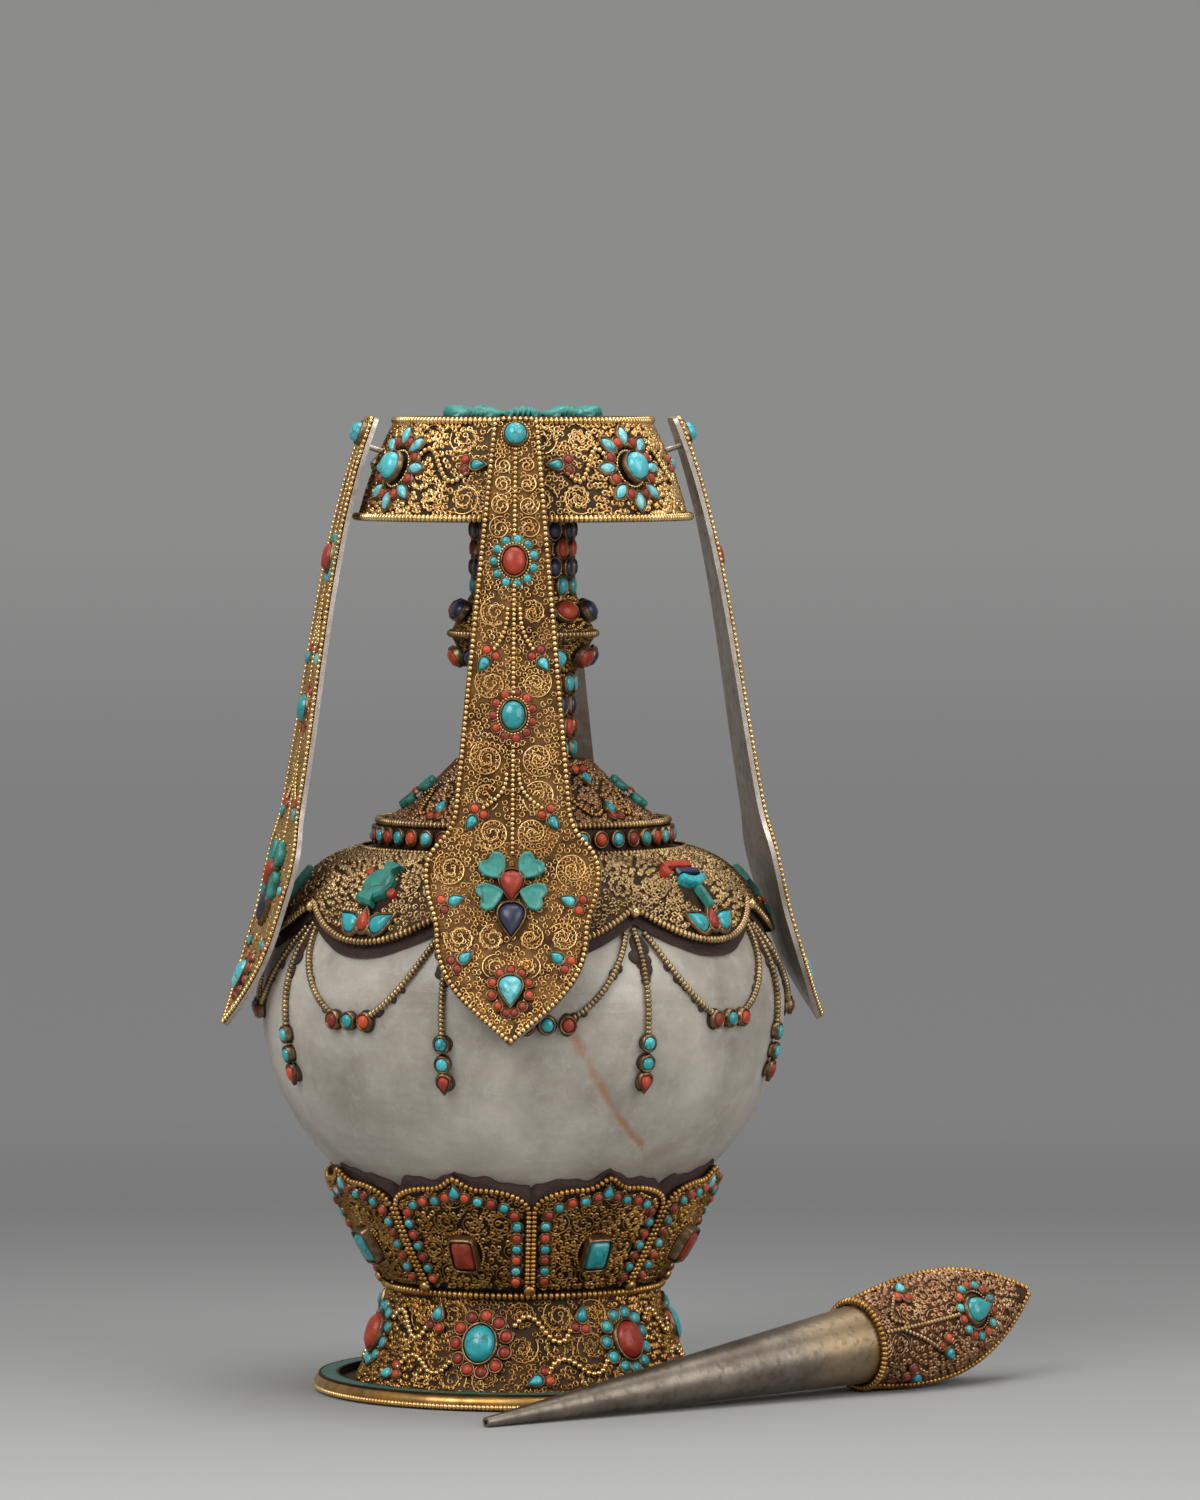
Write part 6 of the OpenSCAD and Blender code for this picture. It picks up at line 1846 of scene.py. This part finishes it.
def lappetBorder(rule):
    # up one side, round the upper corners and down the other side
    edge = np.linspace(rule.tip, lappetFace.length - rule.top, 260)
    wide = lappetFace.width(edge) - rule.inset
    bend = np.radians(np.linspace(0, 90, 8))[1:]
    cornerX = wide[-1] - rule.corner * (1 - np.cos(bend))
    cornerY = edge[-1] + rule.corner * np.sin(bend)
    x = np.concatenate([wide, cornerX, -cornerX[::-1], -wide[::-1]])
    y = np.concatenate([edge, cornerY, cornerY[::-1], edge[::-1]])
    return lappetFace.many(x, y, plateLift + rule.lift)[0]


def makeLappets(size):
    face = lappetFace
    gems, keepOut, lined = newGems(), [], []
    rings = lappetStones(size, gems, keepOut)
    lines = lappetLines(size, gems, keepOut, lined)
    rings.append(lappetFlower(size, gems, keepOut))
    border = lappetBorder(size.border)

    def allowed(x, y):
        y = np.asarray(y)
        return (np.abs(x) < face.width(y) - size.bareSide) & (y > size.bareTip) & (y < face.length - size.bareTop)

    roundels = lappetRoundels(size.roundels, keepOut)
    low, high = size.curlEdges
    rows, rims = filigree(face, roundels, low, face.length - high, size.pitch, allowed, keepOut + lined, plateLift)
    sheet = lappetSheet(size.stud)
    for side, az in lappetSizes.turns.items():
        body = side + "_lappet"
        plate = linked(body + "_sheet", sheet.copy())
        plate.data.vertices.foreach_set("co", (placesOf(plate.data) @ spinMatrix(az).T).ravel())
        plate.data.update()
        ridden(plate, body, "bright_gilt", [body + "_plate"])
        curls = curlPiece(body + "_filigree", turnedAz(rows, az), spun(rims, az), brightWire)
        ridden(curls, body, "bright_gilt")
        made = [beads(body + "_beads", spun([border], az), (0.68, 1.42, 0.92), beadGold, True),
                beads(body + "_lines", spun(lines, az), (0.62, 1.2, 0.92), beadGold),
                beads(body + "_rings", spun(rings, az), (0.4, 0.82, 0.92), beadGold, True)]
        ridden(joined(body + "_beads", made), body, "bright_gilt")
        setGems(body, movedGems(gems, lambda spots: turnedAz(spots, az)), body,
                {key: [body + "_" + key] for key in ("turquoise", "coral", "lapis")})
    bpy.data.meshes.remove(sheet)


makeLappets(lappet)
print("lappets done")

# stopper: silver tube, roped collar, filigree bud of two halves; turns round the bud, lengths from its foot
stopper = Specs(tip=(-8.66, -85.2, 1.3), turn=38.2, rise=5.218, tube=122.7, bud=122.76, length=60.0, tall=13.5,
    base=10.8, full=0.37, bend=4.6, roll=20.0, stoneAt=0.58, stone=(9.4, 7.0, 3.2), ring=14, ringReach=(5.5, 6.5),
    ringStone=(2.3, 2.3, 1.4), wire=(4.1, 5.0, 0.4), stem=(1.0, 13.0), stemEnd=7.6,
    branches=[(1, 22.0, 30.0), (-1, 13.0, -44.0)], branchLean=60.0, branchGap=10.0, cluster=(66.0, 12.0, 60.0),
    seam=(0.5, 59.4), seamApart=4.0, pitch=1.7, roundel=3.4, roundelEdges=(1.0, 10.0), curlEdges=(0.8, 5.0),
    collar=11.46)


class BudFace(Sheet):
    # the bud in the stopper's own frame
    def __init__(self, size):
        self.size = size
        self.length = size.length

    def form(self, x, y):
        size = self.size
        full, base, most = size.full, size.base, size.tall
        u = np.clip(np.asarray(y, float) / size.length, 0.0, 0.995)
        a = np.radians(np.asarray(x, float))
        swell = base + (most - base) * np.sin(0.5 * math.pi * np.minimum(u / full, 1))
        shrink = most * (1 - np.maximum((u - full) / (1 - full), 0) ** 2.2)
        tall = np.where(u < full, swell, shrink)
        c = np.cos(a)
        across = base * (1 - u * u) * np.sign(c) * np.abs(c) ** (1 + 0.5 * u)
        up = tall * np.sin(a) + size.bend * u * u
        roll = math.radians(size.roll)
        return np.stack([u * size.length, across * math.cos(roll) + up * math.sin(roll),
                         up * math.cos(roll) - across * math.sin(roll)], -1)

    def radius(self, y):
        reach = [np.linalg.norm(self.form(x, y) - self.form(x + 180.0, y), axis=-1) for x in (0.0, 90.0)]
        return 0.25 * (reach[0] + reach[1])

    def many(self, x, y, lift=0.0):
        x, y = np.asarray(x, float), np.asarray(y, float)
        p = self.form(x, y)
        around = self.form(x + 1.0, y) - self.form(x - 1.0, y)
        up = self.form(x, y + 0.2) - self.form(x, y - 0.2)
        up /= np.linalg.norm(up, axis=1)[:, None]
        out = np.cross(around, up)
        out /= -np.linalg.norm(out, axis=1)[:, None]
        middle = 0.5 * (self.form(0 * x, y) + self.form(0 * x + 180.0, y))
        out *= np.sign(np.sum(out * (p - middle), 1))[:, None]
        return p + np.asarray(lift).reshape(-1, 1) * out, out, np.cross(up, out), up


def laid(points, size, vectors=False):
    # from the stopper's frame to its place on the floor
    b = math.radians(size.rise)
    tip = np.array([[math.cos(b), 0, -math.sin(b)], [0, 1, 0], [math.sin(b), 0, math.cos(b)]])
    moved = np.array(points, float) @ (spinMatrix(size.turn) @ tip).T
    return moved if vectors else moved + np.array(size.tip)


def laidBud(points, size):
    return laid(np.array(points) + [size.bud, 0, 0], size)


def laidRows(rows, size):
    rows = np.array(rows, float)
    return np.concatenate([laidBud(rows[:, :3], size), laid(rows[:, 3:6], size, True),
                           laid(rows[:, 6:9], size, True), rows[:, 9:12]], 1)


def budSkin(face, size):
    sides, rings = 48, 44
    turns = np.linspace(0, 360, sides, endpoint=False)
    points = [p for y in np.linspace(0, 59.7, rings)
              for p in laidBud(face.form(turns, np.full(sides, y)), size)]
    faces = [(i * sides + k, (i + 1) * sides + k, (i + 1) * sides + (k + 1) % sides, i * sides + (k + 1) % sides)
             for i in range(rings - 1) for k in range(sides)]
    faces += [tuple(range(sides)), tuple(range(rings * sides - 1, (rings - 1) * sides - 1, -1))]
    # the bud's skin is painted dark as the shade between its wires
    return plainMesh("bud_skin", points, faces, [budSheet])


def makeStopper(size):
    face = BudFace(size)
    gems, keepOut, lines, rings, seams, lined = newGems(), [], [], [], [], []
    y, lift = size.stoneAt * size.length, 0.7
    for x in (0.0, 180.0):
        gems["turquoise"].add("drop", face.spot(x, y, 0.6), size.stone, big=True)
        for k in range(size.ring):
            a = 2 * math.pi * k / size.ring
            place = face.beside(x, y, size.ringReach[0] * math.cos(a), size.ringReach[1] * math.sin(a))
            gems["coral" if k % 2 else "turquoise"].add("round", face.spot(*place, 0.25), size.ringStone)
        rings.append(ringPath(face, x, y, size.wire))
        keepOut.append((x, y, 6.4))
        lines.append(surfacePath(face, [(x, along) for along in (*size.stem, y - size.stemEnd)], lift, lined))
        for side, far, turn in size.branches:
            end = x + turn
            places = [(x, 6.0), (x + side * 5, 8.0), (x + side * 16, far - 9.0), (end, far - 4.0)]
            lines.append(surfacePath(face, places, lift, lined))
            cluster(gems, keepOut, face, end + side * size.branchGap, far, 90 - side * size.branchLean)
        turn, along, heading = size.cluster
        cluster(gems, keepOut, face, x + turn, along, heading)
    for x in (90.0, 270.0):
        along = np.linspace(*size.seam, 70)
        for side in (-1, 1):
            apart = size.seamApart * (1 - (along / size.length) ** 3)
            seams.append(face.many(x + side * apart, along, 0.55)[0])

    def allowed(x, y):
        seam = np.minimum(np.abs((np.asarray(x) - 90) % 180), np.abs((90 - np.asarray(x)) % 180))
        return (np.radians(seam) * face.radius(y) > 2.0) & (np.asarray(y) < 55.5)

    def onFloor(paths):
        return [laidBud(path, size) for path in paths]

    rows, rims = weaveOver(face, size, keepOut, lined, allowed)
    ridden(linked("bud_skin", budSkin(face, size)), "stopper", "dark_gilt", ["bud_shell"])
    ridden(curlPiece("bud_filigree", laidRows(rows, size), onFloor(rims), budWire), "stopper", "dark_gilt")
    made = [beads("bud_lines", onFloor(lines), (0.65, 1.2, 0.92), dullWire),
            beads("bud_rings", onFloor(rings), (0.42, 0.85, 0.92), budWire, True),
            beads("bud_seams", onFloor(seams), (0.8, 1.4, 0.92), brownWire)]
    ridden(joined("bud_lines", made), "stopper", "dark_gilt")
    found = movedGems(gems, lambda spots: laidRows(spots, size))
    setGems("bud", found, "stopper", {"turquoise": ["bud_turquoise_stones"]})
    a = np.linspace(0, 2 * math.pi, 190, endpoint=False)
    ring = np.stack([0 * a + size.tube - 1.0, size.collar * np.cos(a), size.collar * np.sin(a)], 1)
    collar = beads("collar_ribbed_wire", [laid(ring, size)], (1.0, 1.3, 0.68), brownWire, True)
    ridden(collar, "stopper", "bright_gilt", ["spout_collar_wire"])


makeStopper(stopper)
print("stopper done")

# finishes of the CAD solids that stay in view
# the sheet finishes on these solids carry painted shade between and under the filigree
painted = [
    (brownSheet, ["base_plate", "foot_skirt", "petal_cup", "tier_bell", "lower_neck_sleeve", "upper_neck_sleeve",
                  "knop", "neck_liner", "stone_band"]),
    (dullSheet, ["shoulder_dome", "crown_band"]), (brightSheet, ["crown_deck", "crown_floor"]),
    (brownWire, ["base_rim_band"]), (carvedTurquoise, ["base_inlay_ring"]), (lac, ["shoulder_lac_bedding"]),
    (quartz, ["crystal_bowl"]), (strandBrass, ["garland_cups"]), (silverTube, ["spout_tube"]),
]
for finish, names in painted:
    for name in names:
        nodes[name].data.materials.clear()
        nodes[name].data.materials.append(finish)
print("solids painted")
